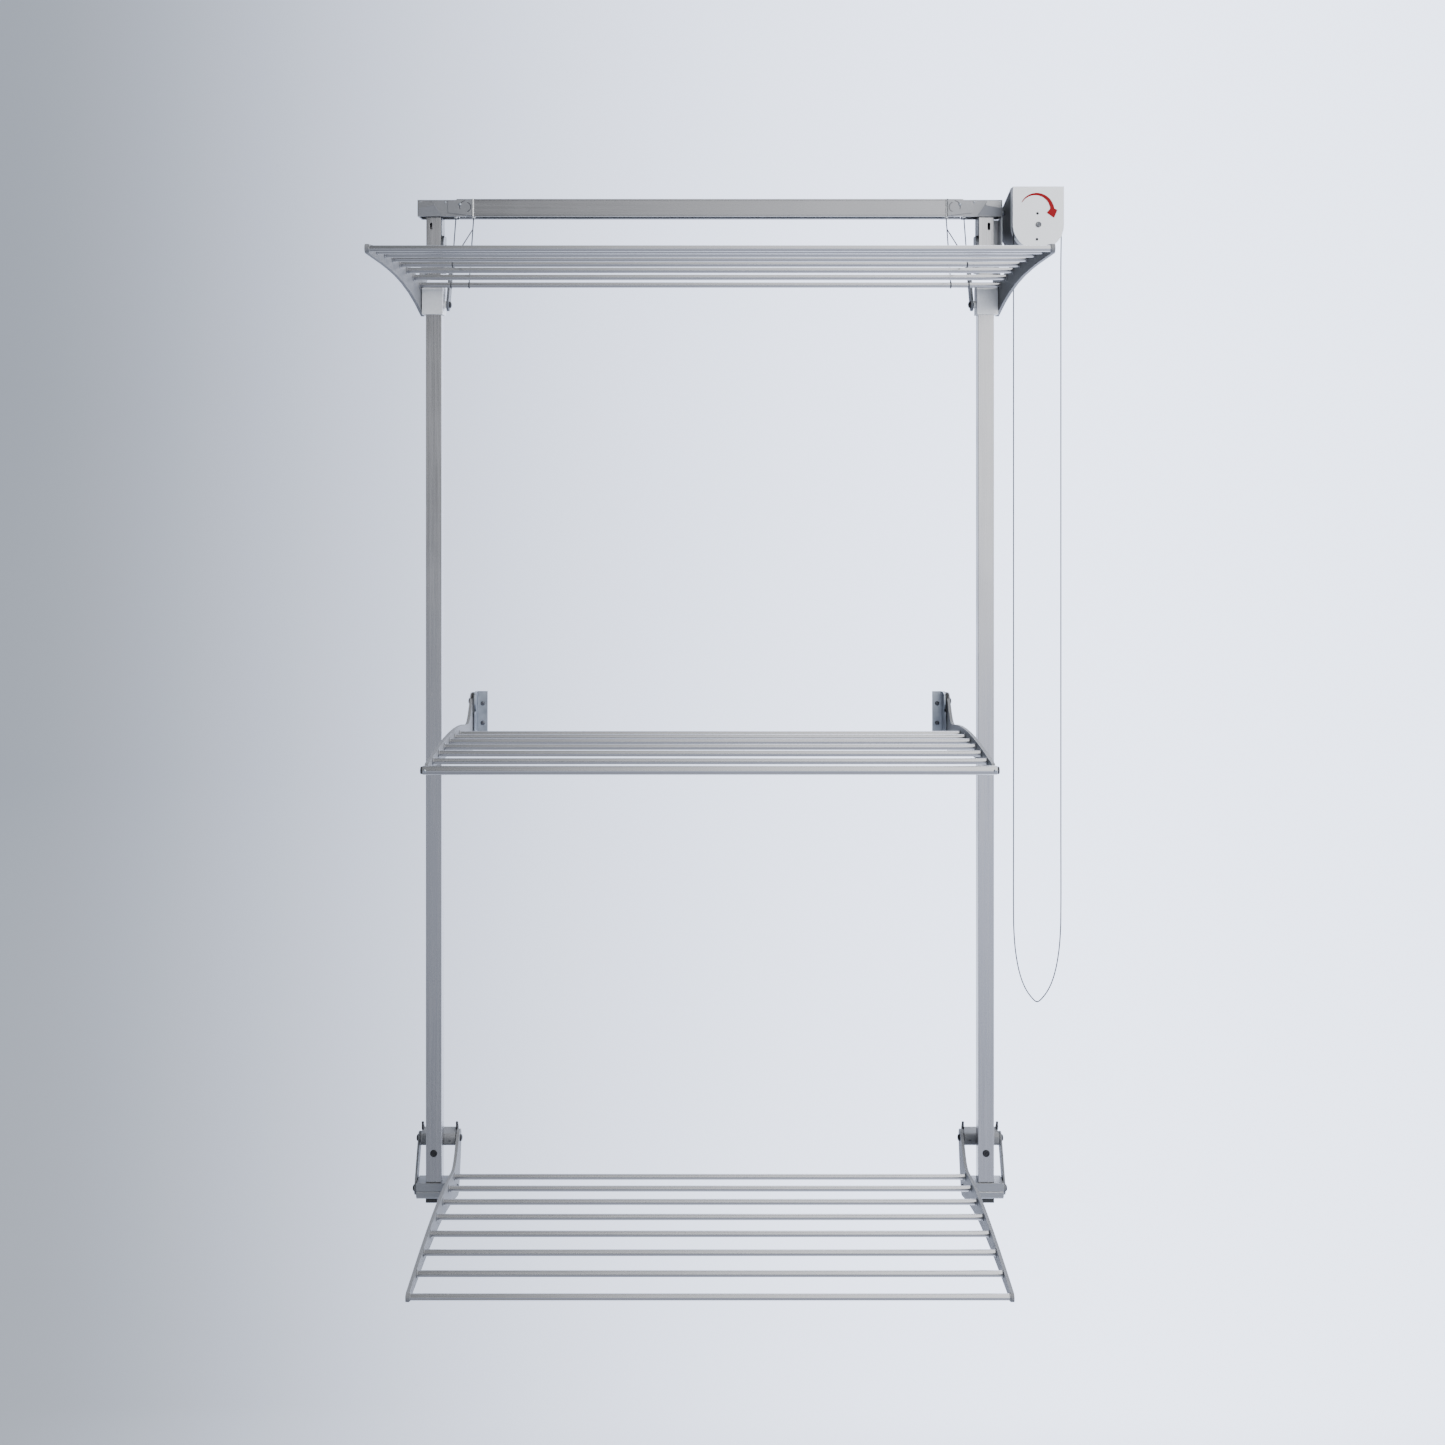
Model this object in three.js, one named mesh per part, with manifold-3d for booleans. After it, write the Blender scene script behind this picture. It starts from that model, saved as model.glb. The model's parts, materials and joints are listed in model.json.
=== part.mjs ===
// Wall-mounted drying rack: three shelves hang on a parallelogram of wall axles and swinging
// uprights, and an endless pull cord on the right lifts them flat against the wall.
// Millimetres. +X right, +Z up, -Y out from the wall. "Forward" is the distance from the wall.
import * as THREE from 'three';
import { mergeVertices } from 'three/addons/utils/BufferGeometryUtils.js';
import Module from 'manifold-3d';

const wasm = await Module();
wasm.setup();

// ---- driving dimensions ------------------------------------------------------------------
const GAP = 0.3;
const MERGE_DISTANCE = 1e-4;

const BAR_HALF_LENGTH = 512.5;
const BAR_HALF_HEIGHT = 18;
const BAR_FRONT = 46;
const BAR_WALL = 2;
const BAR_SLOT_FROM = 14;
const BAR_SLOT_TO = 42;

const BRACKET_INNER = BAR_HALF_LENGTH + 1;
const BRACKET_OUTER = 590.5;
const BRACKET_FRONT = 49.8;
const BRACKET_TOP = 15.5;
const TAB_INNER = 480.5;

const LEG_INNER = 544.5;
const LEG_OUTER = 574;
const LEG_FRONT = 42;
const LEG_BOTTOM = -135;
const LEG_WALL = 2.5;

const WALL_AXLE_FORWARD = 24;
const TOP_AXLE_Z = -115;
const MID_AXLE_Z = -1000;
const BOTTOM_AXLE_Z = -1888;
const LINK_FORWARD = 43;
const LINK_DROP = 83;
const FRAME_AXLE_FORWARD = WALL_AXLE_FORWARD + LINK_FORWARD;
const PIN_RADIUS = 4;
const PIN_HOLE_RADIUS = 4.4;
const PIN_INNER_END = 4;
const PIN_OUTER_END = 3;
const SCREW_HOLE_RADIUS = 3;

const ARM_THICKNESS = 6;
const ARM_TIP_RADIUS = 8;
const ARM_KNUCKLE_RADIUS = 17;
const ARM_REACH = 566;
const TOP_ARM_INNER = 577;
const MID_ARM_INNER = 480.3;
const BOTTOM_ARM_INNER = 508;

const ROD_RADIUS = 5.5;
const ROD_PITCH = 70;
const MID_ROD_PITCH = 61.5;
const MID_RAIL_RADIUS = 7.75;
const MID_RAIL_REACH = 556;
const MID_RAIL_HALF_LENGTH = 487.5;
const MID_ARM_TIP_REACH = 539;
const ARCH_CREST_REACH = 376;
const ARCH_CREST_Z = -28;
const ARCH_DROP_PER_MM2 = 0.00021;

const LINK_HALF_WIDTH = 13;
const TOP_LINK_INNER = 523;
const TOP_LINK_OUTER = 528;
const BOTTOM_LINK_INNER = 588;
const BOTTOM_LINK_OUTER = 592;

const UPRIGHT_INNER = 536.5;
const UPRIGHT_OUTER = 568;
const UPRIGHT_BACK = 52;
const UPRIGHT_FRONT = 82;
const UPRIGHT_WALL = 1.8;
const UPRIGHT_BOTTOM = -1954;
const SLEEVE_TOP = -160;
const SLEEVE_BOTTOM = -219;
const SLEEVE_SOCKET_Z = -204.5;
const SLEEVE_INNER = 533.5;
const SLEEVE_OUTER = 575.5;
const SLEEVE_BACK = 48;
const SLEEVE_FRONT = 86;

const FOOT_INNER = 516;
const FOOT_OUTER = 586.5;
const FOOT_HEIGHT = 32;
const PAD_INNER = 546;
const PAD_OUTER = 569;
const PAD_HEIGHT = 10;

const DRIVE_X = 646.7;
const DRIVE_Z = -46;
const DRIVE_RADIUS = 50.3;
const DRIVE_TOP = 29;
const DRIVE_WALL = 1.5;
const HOUSING_FRONT = 108;
const COVER_FRONT = 133;
const CHAMFER_WIDTH = 17.5;
const CHAMFER_DROP = 28;

const SHAFT_FORWARD = 30;
const SHAFT_Z = -8;
const SHAFT_RADIUS = 4;
const SPOOL_X = 496.5;
const SPOOL_HALF_WIDTH = 20;
const INNER_LIFT_CORD_X = 478.5;
const SPOOL_FLANGE_RADIUS = 8.8;
const SPOOL_CORE_RADIUS = 6.5;
const GEAR_TEETH = 20;
const GEAR_TIP_RADIUS = 25.6;
const GEAR_ROOT_RADIUS = 22.6;
const WORM_RADIUS = 11.6;
const WORM_SHAFT_RADIUS = 5;

const WHEEL_PITCH_RADIUS = 46.8;
const WHEEL_FORWARD = 120;
const WHEEL_HALF_WIDTH = 6;
const PULL_CORD_RADIUS = 1.2;
const PULL_CORD_LOW_Z = -1580;
const LIFT_CORD_RADIUS = 1;

// ---- solids --------------------------------------------------------------------------------
function solidOf(geometry) {
  const bare = geometry.clone();
  bare.deleteAttribute('normal');
  bare.deleteAttribute('uv');
  const merged = mergeVertices(bare, MERGE_DISTANCE);
  const vertProperties = new Float32Array(merged.attributes.position.array);
  const triVerts = new Uint32Array(merged.index.array);
  return new wasm.Manifold(new wasm.Mesh({ numProp: 3, vertProperties, triVerts }));
}

function geometryOf(solid) {
  const mesh = solid.getMesh();
  const geometry = new THREE.BufferGeometry();
  geometry.setAttribute('position', new THREE.BufferAttribute(mesh.vertProperties, 3));
  geometry.setIndex(new THREE.BufferAttribute(mesh.triVerts, 1));
  geometry.computeVertexNormals();
  return geometry;
}

// A block between two X values, two forward distances and two heights, in any order.
function block(xA, xB, forwardA, forwardB, zA, zB) {
  const width = Math.abs(xB - xA);
  const depth = Math.abs(forwardB - forwardA);
  const height = Math.abs(zB - zA);
  const geometry = new THREE.BoxGeometry(width, depth, height);
  geometry.translate((xA + xB) / 2, -(forwardA + forwardB) / 2, (zA + zB) / 2);
  return solidOf(geometry);
}

// A round bar along X.
function barAlongX(radius, xA, xB, forward, z, sides = 16) {
  const geometry = new THREE.CylinderGeometry(radius, radius, Math.abs(xB - xA), sides);
  geometry.rotateZ(Math.PI / 2);
  geometry.translate((xA + xB) / 2, -forward, z);
  return solidOf(geometry);
}

// A round bar along Y, from one forward distance to another.
function barAlongY(radius, forwardA, forwardB, x, z, sides = 16) {
  const geometry = new THREE.CylinderGeometry(radius, radius, Math.abs(forwardB - forwardA), sides);
  geometry.translate(x, -(forwardA + forwardB) / 2, z);
  return solidOf(geometry);
}

// A pin through the plates between two distances from the middle, standing out at both ends.
function axleThrough(side, inner, outer, forward, z) {
  return barAlongX(PIN_RADIUS, side * (inner - PIN_INNER_END), side * (outer + PIN_OUTER_END), forward, z);
}

// An outline drawn in the side view (forward, up), as thick as the span from xA to xB.
function sidePlate(outline, xA, xB, curveSegments = 12) {
  const depth = Math.abs(xB - xA);
  const geometry = new THREE.ExtrudeGeometry(outline, { depth, bevelEnabled: false, curveSegments });
  const turn = new THREE.Matrix4().makeBasis(
    new THREE.Vector3(0, -1, 0),
    new THREE.Vector3(0, 0, 1),
    new THREE.Vector3(-1, 0, 0),
  );
  geometry.applyMatrix4(turn);
  geometry.translate(Math.max(xA, xB), 0, 0);
  return solidOf(geometry);
}

// An outline drawn in the front view (x, up), between two forward distances.
function frontPlate(outline, forwardA, forwardB, curveSegments = 16) {
  const depth = Math.abs(forwardB - forwardA);
  const geometry = new THREE.ExtrudeGeometry(outline, { depth, bevelEnabled: false, curveSegments });
  geometry.rotateX(Math.PI / 2);
  geometry.translate(0, -Math.min(forwardA, forwardB), 0);
  return solidOf(geometry);
}

// ---- outlines --------------------------------------------------------------------------------
// Height of a rod below its shelf's wall axle: the rods lie on a shallow arch.
function archHeight(reach) {
  const fromCrest = reach - ARCH_CREST_REACH;
  return ARCH_CREST_Z - ARCH_DROP_PER_MM2 * fromCrest * fromCrest;
}

function roundHole(forward, z, radius) {
  return new THREE.Path().absarc(forward, z, radius, 0, Math.PI * 2, true);
}

// Sabre-shaped arm round its wall axle at (0, 0): a deep tail at the wall and a thin tip.
function armOutline(tipReach) {
  const tipZ = archHeight(tipReach);
  const neckForward = 84;
  const neckZ = -34;
  const tailForward = 24;
  const tailZ = -104;
  const outline = new THREE.Shape();
  outline.moveTo(tipReach, tipZ - ARM_TIP_RADIUS);
  outline.absarc(tipReach, tipZ, ARM_TIP_RADIUS, -Math.PI / 2, Math.PI / 2, false);
  outline.bezierCurveTo(tipReach * 0.65, tipZ + 22, tipReach * 0.4, -10, neckForward, neckZ);
  outline.bezierCurveTo(neckForward - 32, neckZ - 4, 34, -8, 14, 9.6);
  outline.absarc(0, 0, ARM_KNUCKLE_RADIUS, 0.6, Math.PI, false);
  outline.bezierCurveTo(-16, -24, 2, -78, tailForward - 8, tailZ + 3);
  outline.quadraticCurveTo(tailForward - 3, tailZ - 3, tailForward + 8, tailZ);
  outline.bezierCurveTo(226, -46, 396, -48, tipReach, tipZ - ARM_TIP_RADIUS);
  return outline;
}

// Flat bar with round ends, from the wall axle to the frame axle.
function linkOutline() {
  const slope = Math.atan2(-LINK_DROP, LINK_FORWARD);
  const outline = new THREE.Shape();
  outline.absarc(0, 0, LINK_HALF_WIDTH, slope + Math.PI / 2, slope + Math.PI * 1.5, false);
  outline.absarc(
    LINK_FORWARD, -LINK_DROP, LINK_HALF_WIDTH, slope - Math.PI / 2, slope + Math.PI / 2, false,
  );
  outline.closePath();
  return outline;
}

// Flat top and half-round bottom.
function driveOutline(inset) {
  const radius = DRIVE_RADIUS - inset;
  const outline = new THREE.Shape();
  outline.moveTo(DRIVE_X + radius, DRIVE_Z);
  outline.lineTo(DRIVE_X + radius, DRIVE_TOP - inset);
  outline.lineTo(DRIVE_X - radius, DRIVE_TOP - inset);
  outline.lineTo(DRIVE_X - radius, DRIVE_Z);
  outline.absarc(DRIVE_X, DRIVE_Z, radius, Math.PI, Math.PI * 2, false);
  return outline;
}

// ---- fixed parts on the wall -------------------------------------------------------------
function topBar() {
  const hollow = block(
    -BAR_HALF_LENGTH - 1, BAR_HALF_LENGTH + 1,
    BAR_WALL, BAR_FRONT - BAR_WALL,
    -BAR_HALF_HEIGHT + BAR_WALL, BAR_HALF_HEIGHT - BAR_WALL,
  );
  const slot = block(
    -BAR_HALF_LENGTH - 1, BAR_HALF_LENGTH + 1,
    BAR_SLOT_FROM, BAR_SLOT_TO,
    -BAR_HALF_HEIGHT - 1, 0,
  );
  return block(-BAR_HALF_LENGTH, BAR_HALF_LENGTH, 0, BAR_FRONT, -BAR_HALF_HEIGHT, BAR_HALF_HEIGHT)
    .subtract(hollow)
    .subtract(slot);
}

// Cast end of the bar, with a rounded guide tab that reaches back over the bar's face.
function endBracket(side) {
  const wall = 3;
  const tabRadius = (BRACKET_TOP + BAR_HALF_HEIGHT) / 2;
  const tabMiddle = (BRACKET_TOP - BAR_HALF_HEIGHT) / 2;
  const tabCentre = side * (TAB_INNER + tabRadius);
  const body = block(
    side * BRACKET_INNER, side * BRACKET_OUTER, 0, BRACKET_FRONT, -BAR_HALF_HEIGHT, BRACKET_TOP,
  );
  const hollow = block(
    side * (BRACKET_INNER - 1), side * (BRACKET_OUTER - wall),
    wall, BAR_FRONT + GAP,
    -BAR_HALF_HEIGHT - 1, BRACKET_TOP - wall,
  );
  const tabPlate = block(
    tabCentre, side * (BRACKET_INNER + 5), BAR_FRONT + GAP, BRACKET_FRONT, -BAR_HALF_HEIGHT, BRACKET_TOP,
  );
  const tabRound = barAlongY(tabRadius, BAR_FRONT + GAP, BRACKET_FRONT, tabCentre, tabMiddle, 32);
  const shaftHole = barAlongX(
    SHAFT_RADIUS + 1, side * (BRACKET_OUTER - wall - 1), side * (BRACKET_OUTER + 1), SHAFT_FORWARD, SHAFT_Z,
  );
  const pulleyHole = barAlongY(2.2, BAR_FRONT, BRACKET_FRONT + 1, tabCentre, tabMiddle + 5);
  return body.subtract(hollow).add(tabPlate).add(tabRound).subtract(shaftHole).subtract(pulleyHole);
}

// Hollow leg under the bar's end. It carries the top shelf's wall axle.
function leg(side) {
  const top = -BAR_HALF_HEIGHT - GAP;
  const slotX = side * (LEG_OUTER - 9.5);
  const slotTop = -32;
  const slotBottom = -42;
  const slotRadius = 2.6;
  const shell = block(side * LEG_INNER, side * LEG_OUTER, 0, LEG_FRONT, LEG_BOTTOM, top).subtract(block(
    side * (LEG_INNER + LEG_WALL), side * (LEG_OUTER - LEG_WALL),
    LEG_WALL, LEG_FRONT - LEG_WALL,
    LEG_BOTTOM - 1, top + 1,
  ));
  const slot = barAlongY(slotRadius, -1, LEG_FRONT + 1, slotX, slotTop)
    .add(barAlongY(slotRadius, -1, LEG_FRONT + 1, slotX, slotBottom))
    .add(block(slotX - slotRadius, slotX + slotRadius, -1, LEG_FRONT + 1, slotTop, slotBottom));
  const axle = axleThrough(
    side, TOP_LINK_INNER, TOP_ARM_INNER + ARM_THICKNESS, WALL_AXLE_FORWARD, TOP_AXLE_Z,
  );
  return shell.subtract(slot).add(axle);
}

function midWallBracket(side) {
  const top = MID_AXLE_Z + 17;
  const flangeInner = 455;
  const flangeThickness = 3;
  const cheekOuter = MID_ARM_INNER - 2.3;
  const cheekInner = cheekOuter - 3.5;
  const flange = block(side * flangeInner, side * cheekOuter, 0, flangeThickness, top, MID_AXLE_Z - 65);
  const cheekOutline = new THREE.Shape();
  cheekOutline.moveTo(0, top);
  cheekOutline.lineTo(WALL_AXLE_FORWARD + 4, top);
  cheekOutline.quadraticCurveTo(WALL_AXLE_FORWARD + 16, top, WALL_AXLE_FORWARD + 14, MID_AXLE_Z - 6);
  cheekOutline.lineTo(0, MID_AXLE_Z - 58);
  cheekOutline.closePath();
  const cheek = sidePlate(cheekOutline, side * cheekInner, side * cheekOuter, 6);
  const holeX = side * (flangeInner + 10);
  const upperHole = barAlongY(SCREW_HOLE_RADIUS, -1, flangeThickness + 1, holeX, MID_AXLE_Z - 8);
  const lowerHole = barAlongY(SCREW_HOLE_RADIUS, -1, flangeThickness + 1, holeX, MID_AXLE_Z - 48);
  const axle = barAlongX(
    PIN_RADIUS, side * cheekInner, side * (MID_ARM_INNER + ARM_THICKNESS + PIN_OUTER_END),
    WALL_AXLE_FORWARD, MID_AXLE_Z,
  );
  return flange.add(cheek).subtract(upperHole).subtract(lowerHole).add(axle);
}

// Folded channel between the bottom arm and the outer link, with the axle through both ends.
function bottomWallBracket(side) {
  const halfHeight = 12.5;
  const depth = 39;
  const wall = 3.5;
  const body = block(
    side * FOOT_INNER, side * FOOT_OUTER, 0, depth, BOTTOM_AXLE_Z - halfHeight, BOTTOM_AXLE_Z + halfHeight,
  );
  const hollow = block(
    side * (FOOT_INNER + wall), side * (FOOT_OUTER - wall),
    wall, depth - wall,
    BOTTOM_AXLE_Z - halfHeight - 1, BOTTOM_AXLE_Z + halfHeight - wall,
  );
  const screwX = side * (FOOT_INNER + FOOT_OUTER) / 2;
  const screwSpread = 16;
  const screwZ = BOTTOM_AXLE_Z - 4;
  const screwHole = barAlongY(SCREW_HOLE_RADIUS, -1, wall + 1, screwX - screwSpread, screwZ)
    .add(barAlongY(SCREW_HOLE_RADIUS, -1, wall + 1, screwX + screwSpread, screwZ));
  const axle = axleThrough(
    side, BOTTOM_ARM_INNER, BOTTOM_LINK_OUTER, WALL_AXLE_FORWARD, BOTTOM_AXLE_Z,
  );
  return body.subtract(hollow).subtract(screwHole).add(axle);
}

// ---- swinging frame --------------------------------------------------------------------------
function sleeve(side) {
  const socket = block(
    side * (UPRIGHT_INNER - GAP), side * (UPRIGHT_OUTER + GAP),
    UPRIGHT_BACK - GAP, UPRIGHT_FRONT + GAP,
    SLEEVE_BOTTOM - 1, SLEEVE_SOCKET_Z,
  );
  const outline = new THREE.Shape();
  const round = 10;
  outline.moveTo(SLEEVE_BACK, SLEEVE_BOTTOM);
  outline.lineTo(SLEEVE_FRONT, SLEEVE_BOTTOM);
  outline.lineTo(SLEEVE_FRONT, SLEEVE_TOP - round);
  outline.absarc(SLEEVE_FRONT - round, SLEEVE_TOP - round, round, 0, Math.PI / 2, false);
  outline.lineTo(SLEEVE_BACK + round, SLEEVE_TOP);
  outline.absarc(SLEEVE_BACK + round, SLEEVE_TOP - round, round, Math.PI / 2, Math.PI, false);
  outline.closePath();
  const axle = axleThrough(
    side, TOP_LINK_INNER, TOP_ARM_INNER + ARM_THICKNESS, FRAME_AXLE_FORWARD, TOP_AXLE_Z - LINK_DROP,
  );
  return sidePlate(outline, side * SLEEVE_INNER, side * SLEEVE_OUTER, 6).subtract(socket).add(axle);
}

// Square tube, with the stub axle that the middle shelf's arm turns on.
function upright(side) {
  const top = SLEEVE_SOCKET_Z - GAP;
  const shell = block(
    side * UPRIGHT_INNER, side * UPRIGHT_OUTER, UPRIGHT_BACK, UPRIGHT_FRONT, UPRIGHT_BOTTOM, top,
  );
  const hollow = block(
    side * (UPRIGHT_INNER + UPRIGHT_WALL), side * (UPRIGHT_OUTER - UPRIGHT_WALL),
    UPRIGHT_BACK + UPRIGHT_WALL, UPRIGHT_FRONT - UPRIGHT_WALL,
    UPRIGHT_BOTTOM - 1, top + 1,
  );
  const axle = barAlongX(
    PIN_RADIUS, side * (MID_ARM_INNER - PIN_INNER_END), side * (UPRIGHT_OUTER - 1),
    FRAME_AXLE_FORWARD, MID_AXLE_Z - LINK_DROP,
  );
  const spacerRadius = 8;
  const spacer = barAlongX(
    spacerRadius, side * (MID_ARM_INNER + ARM_THICKNESS + 2), side * (UPRIGHT_INNER + 1),
    FRAME_AXLE_FORWARD, MID_AXLE_Z - LINK_DROP,
  );
  return shell.subtract(hollow).add(axle).add(spacer);
}

function footCrosspiece(side) {
  const top = UPRIGHT_BOTTOM - GAP;
  const axleZ = BOTTOM_AXLE_Z - LINK_DROP;
  const outline = new THREE.Shape();
  const round = 5;
  const grooveDepth = 1.6;
  const grooveHalfWidth = 1.2;
  outline.moveTo(SLEEVE_BACK, top);
  outline.lineTo(SLEEVE_BACK, top - FOOT_HEIGHT);
  outline.lineTo(SLEEVE_FRONT - round, top - FOOT_HEIGHT);
  outline.absarc(SLEEVE_FRONT - round, top - FOOT_HEIGHT + round, round, -Math.PI / 2, 0, false);
  outline.lineTo(SLEEVE_FRONT, axleZ - grooveHalfWidth);
  outline.lineTo(SLEEVE_FRONT - grooveDepth, axleZ);
  outline.lineTo(SLEEVE_FRONT, axleZ + grooveHalfWidth);
  outline.lineTo(SLEEVE_FRONT, top);
  outline.closePath();
  const axle = axleThrough(side, BOTTOM_ARM_INNER, BOTTOM_LINK_OUTER, FRAME_AXLE_FORWARD, axleZ);
  return sidePlate(outline, side * FOOT_INNER, side * FOOT_OUTER, 4).add(axle);
}

function footPad(side) {
  const top = UPRIGHT_BOTTOM - GAP - FOOT_HEIGHT - GAP;
  return block(
    side * PAD_INNER, side * PAD_OUTER, UPRIGHT_BACK + 3, UPRIGHT_FRONT - 3, top, top - PAD_HEIGHT,
  );
}

// ---- shelves ---------------------------------------------------------------------------------
function arm(side, inner, tipReach) {
  const outline = armOutline(tipReach);
  outline.holes.push(roundHole(0, 0, PIN_HOLE_RADIUS));
  outline.holes.push(roundHole(LINK_FORWARD, -LINK_DROP, PIN_HOLE_RADIUS));
  return sidePlate(outline, side * inner, side * (inner + ARM_THICKNESS), 8);
}

function link(side, inner, outer) {
  const outline = linkOutline();
  outline.holes.push(roundHole(0, 0, PIN_HOLE_RADIUS));
  outline.holes.push(roundHole(LINK_FORWARD, -LINK_DROP, PIN_HOLE_RADIUS));
  return sidePlate(outline, side * inner, side * outer, 6);
}

function rodGeometry(radius, halfLength) {
  const geometry = new THREE.CylinderGeometry(radius, radius, 2 * halfLength, 16);
  geometry.rotateZ(Math.PI / 2);
  return geometry;
}

// ---- drive -----------------------------------------------------------------------------------
// Everything above a plane through three points, as a large block lying on that plane.
function blockAbove(a, b, c) {
  const along = b.clone().sub(a).normalize();
  const normal = along.clone().cross(c.clone().sub(a)).normalize();
  if (normal.z < 0) {
    normal.negate();
  }
  const across = normal.clone().cross(along);
  const size = 400;
  const height = 80;
  const geometry = new THREE.BoxGeometry(size, size, height);
  geometry.translate(0, 0, height / 2);
  geometry.applyMatrix4(new THREE.Matrix4().makeBasis(along, across, normal));
  geometry.translate(a.x, a.y, a.z);
  return solidOf(geometry);
}

// The inner rear top edge of the housing slopes away.
function housingChamfer(inset) {
  const left = DRIVE_X - DRIVE_RADIUS;
  const front = new THREE.Vector3(left + inset, -HOUSING_FRONT, DRIVE_TOP - inset);
  const low = new THREE.Vector3(left + inset, 0, DRIVE_TOP - CHAMFER_DROP - inset);
  const inboard = new THREE.Vector3(left + CHAMFER_WIDTH + inset, 0, DRIVE_TOP - inset);
  return blockAbove(front, low, inboard);
}

function driveHousing() {
  const outer = frontPlate(driveOutline(0), 0, HOUSING_FRONT).subtract(housingChamfer(0));
  const inner = frontPlate(driveOutline(DRIVE_WALL), 2, HOUSING_FRONT + 5)
    .subtract(housingChamfer(DRIVE_WALL));
  const left = DRIVE_X - DRIVE_RADIUS;
  const shaftHole = barAlongX(SHAFT_RADIUS + 1, left - 2, left + 6, SHAFT_FORWARD, SHAFT_Z);
  return outer.subtract(inner).subtract(shaftHole);
}

// Front cover with a rim round the cord wheel, notched at both sides where the cord comes out.
function driveCover() {
  const outer = frontPlate(driveOutline(0), HOUSING_FRONT + GAP, COVER_FRONT);
  const inner = frontPlate(driveOutline(DRIVE_WALL), HOUSING_FRONT - 1, COVER_FRONT - 2);
  const notchInner = WHEEL_PITCH_RADIUS - 3.8;
  const notchOuter = DRIVE_RADIUS + 10;
  const notchHalfWidth = 5;
  let cover = outer.subtract(inner);
  for (const side of [-1, 1]) {
    cover = cover.subtract(block(
      DRIVE_X + side * notchInner, DRIVE_X + side * notchOuter,
      WHEEL_FORWARD - notchHalfWidth, WHEEL_FORWARD + notchHalfWidth,
      DRIVE_Z - 4, DRIVE_Z - 30,
    ));
  }
  return cover;
}

// Grooved wheel that the pull cord runs over. The profile is a closed ring round the shaft.
function cordWheelGeometry() {
  const bore = WORM_SHAFT_RADIUS + GAP;
  const hubRadius = 11;
  const hubHalfWidth = WHEEL_HALF_WIDTH + 3;
  const webHalfWidth = 2;
  const grooveRadius = WHEEL_PITCH_RADIUS - PULL_CORD_RADIUS - 3 * GAP;
  const flangeRadius = DRIVE_RADIUS - DRIVE_WALL - 0.6;
  const rimRadius = grooveRadius - 6;
  const grooveHalfWidth = 1.4;
  const profile = [
    [bore, -hubHalfWidth],
    [hubRadius, -hubHalfWidth],
    [hubRadius, -webHalfWidth],
    [rimRadius, -webHalfWidth],
    [rimRadius, -WHEEL_HALF_WIDTH],
    [flangeRadius, -WHEEL_HALF_WIDTH],
    [grooveRadius, -grooveHalfWidth],
    [grooveRadius, grooveHalfWidth],
    [flangeRadius, WHEEL_HALF_WIDTH],
    [rimRadius, WHEEL_HALF_WIDTH],
    [rimRadius, webHalfWidth],
    [hubRadius, webHalfWidth],
    [hubRadius, hubHalfWidth],
    [bore, hubHalfWidth],
    [bore, -hubHalfWidth],
  ];
  return new THREE.LatheGeometry(profile.map(([r, y]) => new THREE.Vector2(r, y)), 32);
}

// Wheel shaft with the worm on it.
function wormShaft() {
  const wormHalfLength = 16;
  const wormFrom = SHAFT_FORWARD - wormHalfLength;
  const wormTo = SHAFT_FORWARD + wormHalfLength;
  const threadPitch = 8;
  const rootRadius = WORM_RADIUS - 3;
  const rootHalfWidth = 3;
  const tipHalfWidth = 1;
  let shaft = barAlongY(WORM_SHAFT_RADIUS, 3, COVER_FRONT - 3, DRIVE_X, DRIVE_Z)
    .add(barAlongY(rootRadius + 0.4, wormFrom, wormTo, DRIVE_X, DRIVE_Z));
  for (let forward = wormFrom + threadPitch / 2; forward < wormTo; forward += threadPitch) {
    const ridge = new THREE.Shape();
    ridge.moveTo(0, -rootHalfWidth);
    ridge.lineTo(rootRadius, -rootHalfWidth);
    ridge.lineTo(WORM_RADIUS, -tipHalfWidth);
    ridge.lineTo(WORM_RADIUS, tipHalfWidth);
    ridge.lineTo(rootRadius, rootHalfWidth);
    ridge.lineTo(0, rootHalfWidth);
    const ring = new THREE.LatheGeometry(ridge.getPoints(), 16);
    ring.translate(DRIVE_X, -forward, DRIVE_Z);
    shaft = shaft.add(solidOf(ring));
  }
  return shaft;
}

// Long shaft in the bar, with the gear that the worm turns.
function driveShaft() {
  const gearHalfWidth = 5;
  const toothAngle = Math.PI * 2 / GEAR_TEETH;
  const outline = new THREE.Shape();
  for (let tooth = 0; tooth < GEAR_TEETH; tooth += 1) {
    const start = tooth * toothAngle;
    const corners = [
      [0, GEAR_ROOT_RADIUS],
      [0.2, GEAR_TIP_RADIUS],
      [0.45, GEAR_TIP_RADIUS],
      [0.65, GEAR_ROOT_RADIUS],
    ];
    for (const [part, radius] of corners) {
      const angle = start + part * toothAngle;
      const forward = SHAFT_FORWARD + radius * Math.cos(angle);
      const up = SHAFT_Z + radius * Math.sin(angle);
      if (tooth === 0 && part === 0) {
        outline.moveTo(forward, up);
      } else {
        outline.lineTo(forward, up);
      }
    }
  }
  outline.closePath();
  const gear = sidePlate(outline, DRIVE_X - gearHalfWidth, DRIVE_X + gearHalfWidth);
  return barAlongX(SHAFT_RADIUS, -BRACKET_OUTER + 1, DRIVE_X + 40, SHAFT_FORWARD, SHAFT_Z, 16).add(gear);
}

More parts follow.
